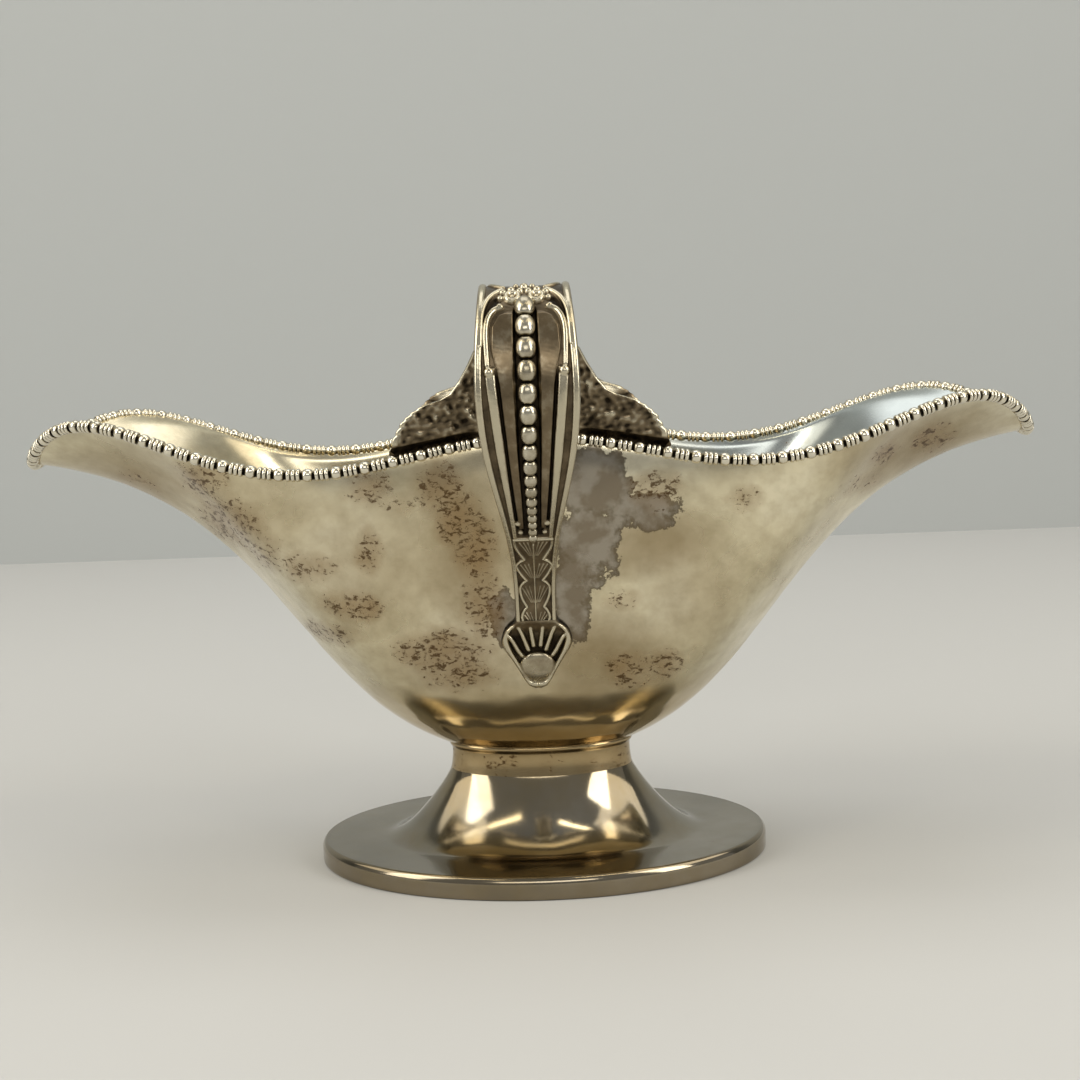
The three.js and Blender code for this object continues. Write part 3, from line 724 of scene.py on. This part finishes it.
def strap_table():
    """Length, point and direction at many places along the strap."""
    s = np.linspace(0, 1, 401)[:, None]
    line = np.concatenate([cubic(s, *corners) for corners in STRAP_CURVES])
    # Two curves share each point where they meet, so the second one is left out.
    moved = np.linalg.norm(np.diff(line, axis=0), axis=1) > 1e-9
    line = line[np.concatenate([[True], moved])]
    length = run_along(line)
    return length, line, unit(np.gradient(line, length, axis=0))


STRAP_RUN, STRAP_LINE, STRAP_WAY = strap_table()
STRAP_LENGTH = STRAP_RUN[-1]


def on_strap(length, x, lift):
    """Point at a length along the strap, x across it and lift out of its middle."""
    u, z = (np.interp(length, STRAP_RUN, STRAP_LINE[:, k]) for k in (0, 1))
    du, dz = (np.interp(length, STRAP_RUN, STRAP_WAY[:, k]) for k in (0, 1))
    return points(x, u - dz * lift, z + du * lift)


print("strap length:", round(STRAP_LENGTH, 1), "mm")

# %% Width of the strap
TO_APEX, TO_SHOULDER = 17.6, 45.66
ROOT_HALF, APEX_HALF, SHOULDER_HALF, WAIST_HALF = 10.0, 9.55, 10.85, 4.55


def strap_half_width(length):
    """Half of the strap's width: nearly even to the shoulder, then narrowing to the waist."""
    top = ROOT_HALF + (APEX_HALF - ROOT_HALF) * ease(length / TO_APEX)
    crown = APEX_HALF + (SHOULDER_HALF - APEX_HALF) * ease((length - TO_APEX) / (TO_SHOULDER - TO_APEX))
    below = (length - TO_SHOULDER) / (STRAP_LENGTH - TO_SHOULDER)
    waist = SHOULDER_HALF + (WAIST_HALF - SHOULDER_HALF) * ease(below * (1.45 - 0.45 * below))
    return np.where(length < TO_APEX, top, np.where(length < TO_SHOULDER, crown, waist))


print("strap width at the leaf, shoulder and waist:",
      (2 * strap_half_width(np.array([0, TO_SHOULDER, STRAP_LENGTH]))).round(1))

# %% [markdown]
# ## Carving in relief
# A caster's model is built up from rolled threads and small balls of wax on a flat strip, and the
# face of the strap is drawn the same way here: a thread is a rounded ridge along a line, a ball is a
# dome at a point. Sculpting by hand would never repeat. Heights on a fine grid repeat exactly, and
# the same two tools draw the strap, the leaf and the palmette.

# %% Threads and balls of wax
def line_gap(x, y, path):
    """Distance from each place to a line through the points of a path."""
    nearest = np.full(np.broadcast(x, y).shape, 1e9)
    for (ax, ay), (bx, by) in zip(path[:-1], path[1:]):
        dx, dy = bx - ax, by - ay
        share = np.clip(((x - ax) * dx + (y - ay) * dy) / (dx * dx + dy * dy), 0, 1)
        nearest = np.minimum(nearest, np.hypot(x - ax - share * dx, y - ay - share * dy))
    return nearest


def smooth_path(path, steps=8):
    """Rounds the corners of a path with a curve through its points."""
    p = np.array([path[0], *path, path[-1]], float)
    rounded = []
    for a, b, c, d in zip(p[:-3], p[1:-2], p[2:-1], p[3:]):
        for s in np.linspace(0, 1, steps, endpoint=False):
            rounded.append(0.5 * (2 * b + (c - a) * s + (2 * a - 5 * b + 4 * c - d) * s ** 2
                                  + (3 * b - a - 3 * c + d) * s ** 3))
    return rounded + [p[-1]]


def thread(gap, half_width, height):
    """Rounded ridge where the gap to its line is less than half its width."""
    return height * np.sqrt(np.clip(1 - (gap / half_width) ** 2, 0, 1))


def soft_step(value, low, high):
    """From 0 at low to 1 at high, level at both."""
    return ease((value - low) / (high - low))


def plateau(value, start, full, fade, end):
    """1 from full to fade, and down to 0 at start and at end."""
    return soft_step(value, start, full) * (1 - soft_step(value, fade, end))


print("height of a thread 1 mm wide and 0.7 mm high, 0.3 mm out:", thread(0.3, 0.5, 0.7).round(2))

# %% [markdown]
# ## Drawing the strap's ornament
# From the leaf down, the face of the strap carries a pair of curled buds, a pointed arch, two smooth
# panels beside the beads with a reed outside each, a bar, and a chain of four husks near the waist.
# A caster lays these out on paper first. Here too each line is a few points on the flat strap,
# (across, length along the strap) in mm. Only one half is drawn, and the other half mirrors it.

# %% Lines of the ornament
ARCH_OUTER = smooth_path([(4.6, 22.4), (6.3, 24.0), (7.8, 26.3), (8.8, 29.4), (9.2, 33.0), (9.4, 37.0)])
ARCH_INNER = smooth_path([(4.9, 28.2), (6.6, 29.2), (7.8, 31.6), (8.2, 35.0), (8.0, 41.0)])
ARCH_BEHIND = smooth_path([(0.6, 3.0), (4.0, 5.0), (6.6, 9.0), (7.6, 14.0), (6.6, 18.5), (4.4, 21.0)])
# Each arch is its line, half its width and its height.
ARCHES = ((ARCH_OUTER, 0.6, 0.72), (ARCH_INNER, 0.62, 0.68), (ARCH_BEHIND, 0.6, 0.6))
ARCH_GROUND = [(6.0, 26.3), (7.8, 29.0), (8.7, 33.0)]
BAR_AT, BAR_HALF = 85.1, 4.1
HUSKS = [[(4.1, 85.2), (3.95, 87.6), (3.0, 90.3), (2.1, 92.3)],
         [(2.1, 92.3), (3.3, 93.3), (3.85, 94.7), (3.0, 97.3), (1.8, 99.4)],
         [(1.8, 99.4), (2.9, 100.6), (3.3, 102.2), (2.9, 104.8), (1.9, 107.2)],
         [(1.9, 107.2), (2.7, 108.4), (3.1, 109.8), (2.9, 111.0)]]
HUSK_EDGE = np.array(sum(HUSKS, []))
HUSK_SPINE = [(0, 87), (0, 112)]
VEIN_RUNS = ((86.4, 91), (94.2, 98.6), (101.4, 106), (108.8, 112))
VEIN_SPREADS = (0.8, 1.7, 2.6)
# Each ball and each lobe is (across, length along the strap, radius).
BALLS = [(7.7, 42.4, 1.15), (3.1, 79.4, 0.75), (2.6, 82.5, 0.65)]
BUD_LOBES = [(0, 27.6, 0.75), (0.9, 23.1, 0.85), (2.7, 22.5, 0.9), (4.4, 23.5, 0.85),
             (5.0, 25.6, 0.7), (5.2, 28.1, 0.75), (0, 20.9, 1.0), (1.7, 20.2, 0.7)]
BUD, BUD_RING = (2.5, 25.3), 1.3
print("husks:", len(HUSKS), "and arches:", len(ARCHES), "with", len(BUD_LOBES), "lobes over them")

# %% Lines that move outward or inward along the strap
# Each pair holds lengths along the strap and the value at each, in mm.
BORDER_HALF = ([0, 50, 80, 108], [0.85, 0.82, 0.6, 0.52])
PANEL_INNER = ([30, 45, 58, 71, 84], [2.35, 2.7, 2.4, 1.9, 1.7])
PANEL_OUTER = ([29.4, 30.5, 33, 38, 42, 45, 58, 71, 80], [3.6, 5.6, 7.0, 7.2, 6.3, 5.7, 4.65, 3.75, 3.1])
REED_LINE = ([41, 45, 58, 71, 81, 86], [7.6, 7.4, 6.1, 4.85, 4.05, 3.85])
REED_HALF = ([41, 58, 71, 86], [1.12, 1.05, 0.72, 0.48])
SLOT_LINE = ([41, 45, 58, 71, 81], [6.4, 6.0, 4.85, 3.95, 3.35])
PANEL_RISE, REED_RISE, BORDER_RISE = 0.34, 0.62, 0.7


def panel_share(length, across):
    """1 on the smooth panels beside the beads, 0 elsewhere."""
    inner, outer = (np.interp(length, *edge) for edge in (PANEL_INNER, PANEL_OUTER))
    return (plateau(across, inner - 0.1, inner + 0.3, outer - 0.35, outer)
            * plateau(length, 29.2, 30.2, 80.5, 82.0))


print("panel width at the shoulder:",
      round(np.interp(45, *PANEL_OUTER) - np.interp(45, *PANEL_INNER), 1), "mm")

# %% Buds and husks
def bud_relief(length, across):
    """Two curled buds side by side over the arch, each a ring round a seed, with lobes about it."""
    from_bud = np.hypot(across - BUD[0], length - BUD[1])
    ridges = [thread(from_bud - BUD_RING, 0.62, 0.9), thread(from_bud, 0.5, 0.75)]
    for lobe, at, radius in BUD_LOBES:
        ridges.append(thread(np.hypot(across - lobe, length - at), radius, 1.05 * radius))
    return np.maximum.reduce(ridges)


def husk_relief(length, across):
    """The bar, and under it a chain of husks: low blades with a thread round them, a spine and veins."""
    husk_half = np.interp(length, HUSK_EDGE[:, 1], HUSK_EDGE[:, 0])
    on_husk = across < husk_half
    blade = 0.14 * (1 - 0.6 * (across / husk_half) ** 2) * on_husk
    ridges = [blade * soft_step(length, BAR_AT, BAR_AT + 0.5),
              thread(line_gap(across, length, [(0, BAR_AT), (BAR_HALF, BAR_AT)]), 0.5, 0.62),
              thread(line_gap(across, length, HUSK_SPINE), 0.25, 0.55)]
    for husk in HUSKS:
        ridges.append(thread(line_gap(across, length, smooth_path(husk)), 0.4, 0.6))
    for start, end in VEIN_RUNS:
        for spread in VEIN_SPREADS:
            vein = line_gap(across, length, [(spread + 0.4, start), (spread * 0.35, end)])
            ridges.append(thread(vein, 0.2, 0.36) * on_husk)
    return np.maximum.reduce(ridges)


print("seed of a bud stands", bud_relief(BUD[1], BUD[0]), "mm high")

# %% Relief and ground of the strap's face
def strap_relief(length, across):
    """Height of the strap's face over its floor, in mm."""
    border = np.interp(length, *BORDER_HALF)
    reed = thread(across - np.interp(length, *REED_LINE), np.interp(length, *REED_HALF), REED_RISE)
    ridges = [thread(across - (strap_half_width(length) - border), border, BORDER_RISE),
              PANEL_RISE * panel_share(length, across),
              reed * plateau(length, 41.2, 41.8, 84, 85.5),
              bud_relief(length, across), husk_relief(length, across)]
    for path, wide, tall in ARCHES:
        ridges.append(thread(line_gap(across, length, path), wide, tall))
    for ball_across, ball_at, radius in BALLS:
        from_ball = np.hypot(across - ball_across, length - ball_at)
        ridges.append(thread(from_ball, radius, 0.95 * radius))
    return np.maximum.reduce(ridges)


def strap_floor(length, across):
    """Deeper ground beside the beads, in a slot beside each reed and inside the arch."""
    beside_beads = (1 - soft_step(across, 2.0, 2.6)) * plateau(length, 28, 29.5, 83, 84.5)
    from_slot = across - np.interp(length, *SLOT_LINE)
    slot = np.exp(-(from_slot / 0.34) ** 2) * plateau(length, 42, 44, 80, 83)
    recess = np.exp(-(line_gap(across, length, ARCH_GROUND) / 0.75) ** 2)
    return 0.3 * beside_beads + 0.3 * slot + 0.45 * recess


print("a panel stands", strap_relief(np.array([58.0]), np.array([3.5]))[0].round(2), "mm high")

# %% [markdown]
# ## The strap
# The strap is a casting three millimetres thick. Its face carries the ornament between raised
# borders. Its back is plain and slightly rounded, as the inside of a handle has to be kind to
# fingers. A displacement texture could carve the face, but it would blur these narrow threads.
# Rings round the strap, with many points across its face, keep each thread crisp.
# The back handle is modelled, and the front one is the same casting turned half round.

# %% Strap mesh
STRAP_GROUND, STRAP_BACK = 0.8, -1.5
SIDE_LIFT = 0.55 * STRAP_GROUND
BACK_ROUNDING, BACK_HOLLOW = 0.55, 0.35


def crowded(count, fullness):
    """Places from -1 to 1 that crowd toward both ends, where a section turns."""
    return np.sin(np.linspace(-np.pi / 2, np.pi / 2, count) * fullness) / np.sin(np.pi / 2 * fullness)


def strap_rings():
    """Rings round the strap, with the share of hollow at each point."""
    length = np.linspace(0, STRAP_LENGTH, 820)[:, None]
    half = strap_half_width(length)
    x = crowded(190, 0.96)[None, :] * half
    across = np.abs(x)
    relief = strap_relief(length, across)
    ground = strap_floor(length, across) * (relief < 0.12)
    cast = 0.006 * waves(points(x, length, 0), 1.1, 21)
    face = on_strap(length, x, STRAP_GROUND + (relief - ground) + cast)
    turn = np.linspace(0, np.pi, 42)[1:-1]
    back_x = half * np.sign(np.cos(turn)) * np.abs(np.cos(turn)) ** BACK_ROUNDING
    back_lift = SIDE_LIFT - (SIDE_LIFT - STRAP_BACK) * np.sin(turn)[None, :] ** BACK_ROUNDING
    back = on_strap(length, back_x, back_lift + 0.03 * waves(points(back_x, length, 9), 2.5, 22))
    # Ridges are rubbed bright, the panels a little dull, the floor dark and its grooves darkest.
    hollow = np.clip(0.62 - 1.05 * relief + 1.3 * ground + 0.17 * panel_share(length, across), 0, 1)
    back_hollow = np.full(back_x.shape, BACK_HOLLOW)
    return np.concatenate([face, back], axis=1), np.concatenate([hollow, back_hollow], axis=1)


strap_grid, strap_hollow = strap_rings()
print("strap:", strap_grid.shape[0], "rings of", strap_grid.shape[1], "points")

# %% Two handles from one model
HANDLES = (("back", 1), ("front", -1))


def on_both_sides(name, node, slot, finish, grid, hollow):
    """The same piece for the back handle and, turned half round, for the front one."""
    for place, side in HANDLES:
        piece = skin(f"{name}_{place}", grid * [side, side, 1], marks={"hollow": hollow})
        hand_over(piece, f"{node}_{place}", finish)


on_both_sides("scroll_strap", "handle_strap", "silver_oxidised", casting_finish, strap_grid, strap_hollow)

# %% [markdown]
# ## The row of beads
# Seventeen beads run down the middle of each strap, from 4 mm at the top to 2 mm at the bar. They
# sit half sunk in their groove, and the metal runs on between them as a thin neck. Single balls
# would touch at a point and look loose, so one skin whose section swells and shrinks along the
# strap draws the whole row.

# %% Bead row
BEAD_LARGEST, BEAD_SMALLEST, BEAD_COUNT, BEAD_PITCH = 4.1, 2.0, 17, 1.12
BEAD_START = 11.0
BEAD_LIFT = 0.28
BEAD_ABOVE, BEAD_BELOW = 0.92, 0.35


def bead_rings():
    """Rings along the row of beads, with the share of hollow at each point."""
    size = BEAD_LARGEST + (BEAD_SMALLEST - BEAD_LARGEST) * ease(np.arange(BEAD_COUNT) / (BEAD_COUNT - 1))
    centre = TO_APEX + BEAD_START + np.concatenate([[0], np.cumsum(BEAD_PITCH * size[:-1])])
    turn = np.radians(np.linspace(14, 166, 17))
    length = (centre[:, None] - BEAD_PITCH * size[:, None] / 2 * np.cos(turn)).reshape(-1, 1)
    radius = (1.04 * size[:, None] / 2 * np.sin(turn) ** 0.62).reshape(-1, 1)
    around = np.linspace(0, 2 * np.pi, 28, endpoint=False)[None, :]
    sunk = np.where(np.sin(around) > 0, BEAD_ABOVE, BEAD_BELOW)
    lift = STRAP_GROUND + BEAD_LIFT + radius * np.sin(around) * sunk
    widest = np.repeat(size / 2, len(turn))[:, None]
    between_beads = np.clip(2.1 - 2.6 * radius / widest, 0, 1)
    # Each bead is a little dark all over, and its lower half is painted darker as painted shade.
    low = np.clip(0.5 - 1.1 * np.sin(around), 0.26, 1)
    return on_strap(length, radius * np.cos(around), lift), np.maximum(between_beads, low)


on_both_sides("graduated_beads", "bead_row", "silver_bright", wire_finish, *bead_rings())

# %% [markdown]
# ## The leaf on the rim
# A cast leaf joins the top of the strap to the rim. Its carved face looks into the bowl: ribs fan out
# to scalloped lobes. The side that shows beside the handle is its back, rough as it came out of the
# mould. Below, it springs from the rim behind the wire and leaves a gap over it, painted black as
# painted shadow.
# Rows of points from the rim up to the strap follow the outline, and both faces get their own relief.

# %% Outline of the leaf
LEAF_TOP, LEAF_FOOT, LEAF_LEAN = 125.4, 0.8, 5.5
# Share of the leaf's height and half its width there.
LEAF_OUTLINE = np.array([(0, 31.0), (0.06, 30.9), (0.18, 29.9), (0.31, 28.0), (0.38, 25.9), (0.435, 23.4),
                         (0.465, 20.0), (0.52, 17.4), (0.63, 15.4), (0.79, 13.3), (0.95, 11.6), (1, 10.6)])
# Share of the height and the way along the lobed edge, up to where the lobes end.
LOBE_RUN = ([0, 0.18, 0.31, 0.38, 0.435, 0.465], [0, 2.7, 5.9, 8.4, 11.1, 14.4])
LOBE_PITCH, LOBE_DEPTH, LOBES_END = 1.6, 0.42, LOBE_RUN[0][-1]


def leaf_half_width(share):
    """Outline of the leaf, with a scalloped edge on the lobes."""
    plain = np.interp(share, LEAF_OUTLINE[:, 0], LEAF_OUTLINE[:, 1])
    run = np.interp(share, *LOBE_RUN)
    return plain + LOBE_DEPTH * np.abs(np.sin(np.pi * run / LOBE_PITCH)) * (share < LOBES_END)


print("leaf width on the rim and at the strap:", 2 * leaf_half_width(np.array([0, 1])))

# %% Leaf mesh
FAN_CENTRE = 99
RIB_COUNT, RIB_HEIGHT = 9.5, 0.55
UNDERCUT = 1.5
ROLL_HEIGHT = 0.12
LEAF_BACK, LEAF_FACE = 0.85, 0.55


def leaf_rings():
    """Rings round the leaf: across its outer face and back across its carved face."""
    steps = 120
    share = (0.35 * (1 - np.cos(np.pi * np.linspace(0, 0.5, steps))) + np.linspace(0, 0.65, steps))[:, None]
    across = crowded(220, 0.97)[None, :]
    x = across * leaf_half_width(share)
    rim = rim_point(np.arcsin(x / RIM_HALF_LENGTH))
    foot = rim[..., 2] + LEAF_FOOT
    height = foot + (LEAF_TOP - foot) * share
    middle = rim[..., 1] + LEAF_LEAN * share ** 2
    edge = np.sqrt(np.clip(1 - np.abs(across) ** 10, 0, 1))
    place = points(x, height, 0)
    pits = 0.1 * waves(place, 1.7, 31, 24) + 0.07 * waves(place, 4.2, 32)
    rolled = soft_step(np.abs(across), 0.945, 0.97)
    undercut = UNDERCUT * (1 - soft_step(share, 0.02, 0.13)) * soft_step(np.abs(x), 9, 14)
    outside = middle + (LEAF_BACK + pits * (1 - rolled) + ROLL_HEIGHT * rolled) * edge - undercut
    fan, radius = np.arctan2(x, height - FAN_CENTRE), np.hypot(x, height - FAN_CENTRE)
    ribs = np.abs(np.cos(fan * RIB_COUNT)) ** 0.6 * soft_step(radius, 6, 14) * RIB_HEIGHT
    inside = middle - (LEAF_FACE + ribs) * edge - undercut * 0.4
    front = points(x, outside, height)
    rear = points(x, inside, height)[:, ::-1]
    # Pits are dark, the rolled edge is rubbed bright, and the gap over the wire is painted black as painted
    # shadow.
    front_hollow = np.clip(0.52 - 1.6 * pits, 0, 1) * (1 - 0.95 * rolled)
    front_hollow = np.maximum(front_hollow, np.clip(undercut / 0.6, 0, 1))
    rear_hollow = np.clip(0.85 - 1.5 * ribs, 0, 1)[:, ::-1]
    return np.concatenate([front, rear], axis=1), np.concatenate([front_hollow, rear_hollow], axis=1)


on_both_sides("spread_leaf", "shoulder_leaf", "silver_oxidised", casting_finish, *leaf_rings())

# %% [markdown]
# ## The palmette on the wall
# The strap ends in a palmette that is soldered flat on the bowl. A rolled volute runs down each side
# to the point, short ridges fan out between the two over a dark ground, and a smooth boss sits below
# them. At its top the ground rises to meet the strap. It has to lie on a wall that curves both ways.
# A shrink-wrap would smear its threads, so its relief is drawn on a flat sheet of (across, height)
# and laid on the bowl: for each place the wall is looked up, and the relief is added to it.

# %% Seat of the palmette on the bowl
def bowl_side(x, height):
    """Distance of the bowl's outer face from the middle plane at each x and height."""
    angle, share = np.linspace(-0.6, 0.6, 61), np.linspace(0, 1, 201)
    wall = bowl_wall(angle, share)
    seat = np.empty(x.shape)
    for row, z in enumerate(height[:, 0]):
        at = np.array([[np.interp(z, line[:, 2], line[:, k]) for k in (0, 1)] for line in wall])
        seat[row] = np.interp(x[row], at[:, 0], at[:, 1])
    return seat


print("wall behind the palmette's foot and top:",
      bowl_side(np.zeros((2, 1)), np.array([[47.0], [63.0]]))[:, 0].round(1))

# %% Lines of the palmette
PALMETTE_TOP, PALMETTE_OVERLAP = 63.5, 1.0
# Height and half the width there.
PALMETTE_OUTLINE = np.array([(46.6, 0.9), (47.2, 2.2), (48.9, 3.3), (51.4, 4.6), (54.0, 6.1), (56.0, 7.4),
                             (57.6, 8.1), (58.6, 8.1), (60.0, 7.7), (61.0, 7.2), (61.9, 6.3), (62.6, 5.3),
                             (63.4, 4.7), (65.5, 4.6)])
# Each line goes through points (across, height).
VOLUTE = smooth_path([(4.2, 64.2), (4.9, 62.7), (6.2, 61.6), (7.2, 60.2), (7.35, 58.4), (6.6, 55.9),
                      (5.4, 53.4), (4.2, 51.0), (3.1, 49.0), (1.9, 47.7), (0.6, 47.3)])
INNER_ROLL = smooth_path([(6.9, 59.9), (6.0, 59.2), (5.1, 57.6), (4.3, 56.0), (3.5, 54.8)])
FINGERS = [smooth_path(path) for path in ([(4.5, 62.3), (3.6, 60.6), (2.8, 58.4), (2.0, 56.2)],
                                          [(1.6, 63.2), (1.3, 60.8), (0.8, 57.2)])]
# Each ridge is its line, half its width and its height.
PALMETTE_RIDGES = [(VOLUTE, 1.0, 1.5), (INNER_ROLL, 0.62, 1.3), *((path, 0.6, 1.15) for path in FINGERS)]
BOSS_AT, BOSS_HALF, BOSS_ABOVE, BOSS_BELOW, BOSS_RISE = 52.0, 4.2, 3.6, 4.3, 1.7
PALMETTE_GROUND, RIDGE_FOOT, TOP_RISE = 0.45, 0.5, 2.0
print("palmette ridges in each half:", len(PALMETTE_RIDGES))


# %% Palmette mesh
def palmette_rings():
    """Rings across the palmette: over its relief, and back along the wall."""
    height = np.linspace(PALMETTE_OUTLINE[0, 0], PALMETTE_TOP + PALMETTE_OVERLAP, 210)[:, None]
    across = crowded(180, 0.97)[None, :]
    half = np.interp(height, PALMETTE_OUTLINE[:, 0], PALMETTE_OUTLINE[:, 1])
    x = across * half
    side = np.abs(x)
    ground = PALMETTE_GROUND + TOP_RISE * soft_step(height, 59.8, 63.6) * np.ones(x.shape)
    ridges = [RIDGE_FOOT + thread(line_gap(side, height, path), wide, tall)
              for path, wide, tall in PALMETTE_RIDGES]
    boss_height = np.where(height > BOSS_AT, BOSS_ABOVE, BOSS_BELOW)
    on_boss = np.hypot(x / BOSS_HALF, (height - BOSS_AT) / boss_height)
    boss = RIDGE_FOOT + thread(on_boss, 1.0, BOSS_RISE) * (side < half)
    relief = np.maximum.reduce([ground, *ridges, boss])
    edge = np.sqrt(np.clip(1 - np.abs(across) ** 14, 0, 1))
    seat = bowl_side(x, np.broadcast_to(height, x.shape))
    top = points(x, seat + relief * edge, height)
    under = points(x, seat - 0.25, height)[:, ::-1]
    # The ground is dark below and lighter where it rises to the strap. Ridges and boss are rubbed bright.
    hollow = np.clip(0.86 - 0.5 * soft_step(height, 59.0, 62.0) - 1.1 * (relief - ground), 0, 1)
    hollow = np.maximum(hollow, 0.22 * (on_boss < 0.95))
    # The outer edge and the underside against the wall are painted black, as painted shadow where the
    # casting meets the bowl.
    hollow = np.maximum(hollow, soft_step(np.abs(across), 0.96, 0.99))
    return np.concatenate([top, under], axis=1), np.concatenate([hollow, np.ones(x.shape)], axis=1)


on_both_sides("palmette_casting", "palmette", "silver_oxidised", casting_finish, *palmette_rings())

# %% [markdown]
# ## Floor and light
# Silver shows what stands round it, so the light matters as much as the metal. A pale matt floor, a
# pale wall behind and a pale room keep it plain. Soft lamps stand for windows: two in front, two
# high at the sides, a wide one straight ahead and a skylight over the back. Two thin warm lamps
# stand for tubes. Their reflections run down the bowl as soft bands, and show as bright panes and
# strokes on the polished foot. A picture of a room wrapped round the scene would light it too, but
# single lamps can be moved one by one until each reflection sits where it should.

# %% Pale floor and wall
# Half the width of both boards, where the wall stands and how high it is, in metres.
BOARD_REACH, WALL_AT, WALL_TOP = 4, 0.62, 3


def board(name, corners, hex_colour):
    """Matt painted board: it scatters light evenly and keeps the shadow of the boat."""
    material = bpy.data.materials.new(f"painted_board_matt_{name}")
    material.use_nodes = True
    shader = material.node_tree.nodes["Principled BSDF"]
    shader.inputs["Base Color"].default_value = linear(hex_colour)
    shader.inputs["Roughness"].default_value = 0.8
    mesh = bpy.data.meshes.new(name)
    mesh.from_pydata(corners, [], [(0, 1, 2, 3)])
    mesh.materials.append(material)
    piece = bpy.data.objects.new(name, mesh)
    bpy.context.scene.collection.objects.link(piece)


board("floor", [(-BOARD_REACH, -BOARD_REACH, 0), (BOARD_REACH, -BOARD_REACH, 0),
                (BOARD_REACH, WALL_AT, 0), (-BOARD_REACH, WALL_AT, 0)], "#C3C3C1")
board("wall", [(-BOARD_REACH, WALL_AT, 0), (BOARD_REACH, WALL_AT, 0),
               (BOARD_REACH, WALL_AT, WALL_TOP), (-BOARD_REACH, WALL_AT, WALL_TOP)], "#B0B3B2")
print("boards:", 2 * BOARD_REACH, "m wide, with the wall", WALL_AT, "m behind the boat")

# %% Room
ROOM_LIGHT = 0.54
scene = bpy.context.scene
room = bpy.data.worlds.new("pale_room")
room.use_nodes = True
room.node_tree.nodes["Background"].inputs["Color"].default_value = linear("#C4C5C4")
room.node_tree.nodes["Background"].inputs["Strength"].default_value = ROOM_LIGHT
scene.world = room
scene.view_settings.view_transform = "Standard"
print("room light:", ROOM_LIGHT)

# %% Lamps
DAYLIGHT, LATE_DAYLIGHT, SKY, TUBE_LIGHT = "#FFFCF6", "#FFF6E4", "#FFFFFF", "#FFF0CC"
# Each lamp has its place, the point it looks at, its width and height (all in metres), its power in
# watts and its colour.
LAMPS = {
    "window_left": ((-0.95, -0.45, 0.62), (0, 0, 0.07), 0.45, 1.0, 6, DAYLIGHT),
    "window_right": ((0.85, -0.55, 0.55), (0.05, -0.1, 0.0), 0.35, 0.9, 5, DAYLIGHT),
    "side_window_left": ((-0.95, -0.02, 0.9), (0, 0, 0.03), 0.8, 0.8, 3.2, LATE_DAYLIGHT),
    "side_window_right": ((0.85, -0.05, 0.95), (0, 0, 0.03), 0.8, 0.8, 3, LATE_DAYLIGHT),
    "front_window": ((0, -1.15, 0.6), (0, -0.1, 0), 0.9, 0.3, 2.5, DAYLIGHT),
    "skylight": ((0, 0.3, 1.25), (0, 0, 0.0), 0.9, 0.7, 3.5, SKY),
    "tube_left": ((-0.37, -0.37, 0.9), (0, 0, 0.05), 0.4, 0.04, 0.4, TUBE_LIGHT),
    "tube_right": ((0.3, -0.32, 0.95), (0, 0, 0.05), 0.4, 0.04, 0.4, TUBE_LIGHT),
}


def soft_lamp(name, place, aim, width, height, power, tint):
    """Soft rectangular lamp that looks at a point."""
    lamp = bpy.data.lights.new(name, "AREA")
    lamp.shape, lamp.size, lamp.size_y = "RECTANGLE", width, height
    lamp.energy, lamp.color = power, linear(tint)[:3]
    holder = bpy.data.objects.new(name, lamp)
    holder.location = place
    holder.rotation_euler = (Vector(aim) - Vector(place)).to_track_quat("-Z", "Y").to_euler()
    scene.collection.objects.link(holder)


for name, settings in LAMPS.items():
    soft_lamp(name, *settings)
print("lamps:", ", ".join(LAMPS))

# %% [markdown]
# ## Camera
# The camera stands about 46 cm in front of the boat's middle, nearly level with the top of the
# handle, and looks down by not quite seven degrees. It is held slightly askew, which lifts the right
# lip in the picture. A wide lens from close by would swell the handle, which is the nearest piece,
# and a long one from far off would flatten the boat, so this one lies between the two.

# %% Camera
CAMERA_PLACE = (0.0015, -0.4603, 0.132)
DOWN, ROLL = np.radians(6.795), np.radians(-2.02)
FOCAL_LENGTH, SENSOR_WIDTH = 63.33, 36
ahead = Vector((0, np.cos(DOWN), -np.sin(DOWN)))
right = Vector((1, 0, 0))
above = right.cross(ahead)
tilted_right = right * np.cos(ROLL) + above * np.sin(ROLL)
tilted_up = above * np.cos(ROLL) - right * np.sin(ROLL)
camera_data = bpy.data.cameras.new("camera")
camera_data.sensor_width, camera_data.lens = SENSOR_WIDTH, FOCAL_LENGTH
camera_data.clip_start = 0.05
camera = bpy.data.objects.new("camera", camera_data)
turned = Matrix((tilted_right, tilted_up, -ahead)).transposed().to_4x4()
camera.matrix_world = Matrix.Translation(CAMERA_PLACE) @ turned
scene.collection.objects.link(camera)
scene.camera = camera
print("camera distance in mm:", round(Vector(CAMERA_PLACE).length / MM))
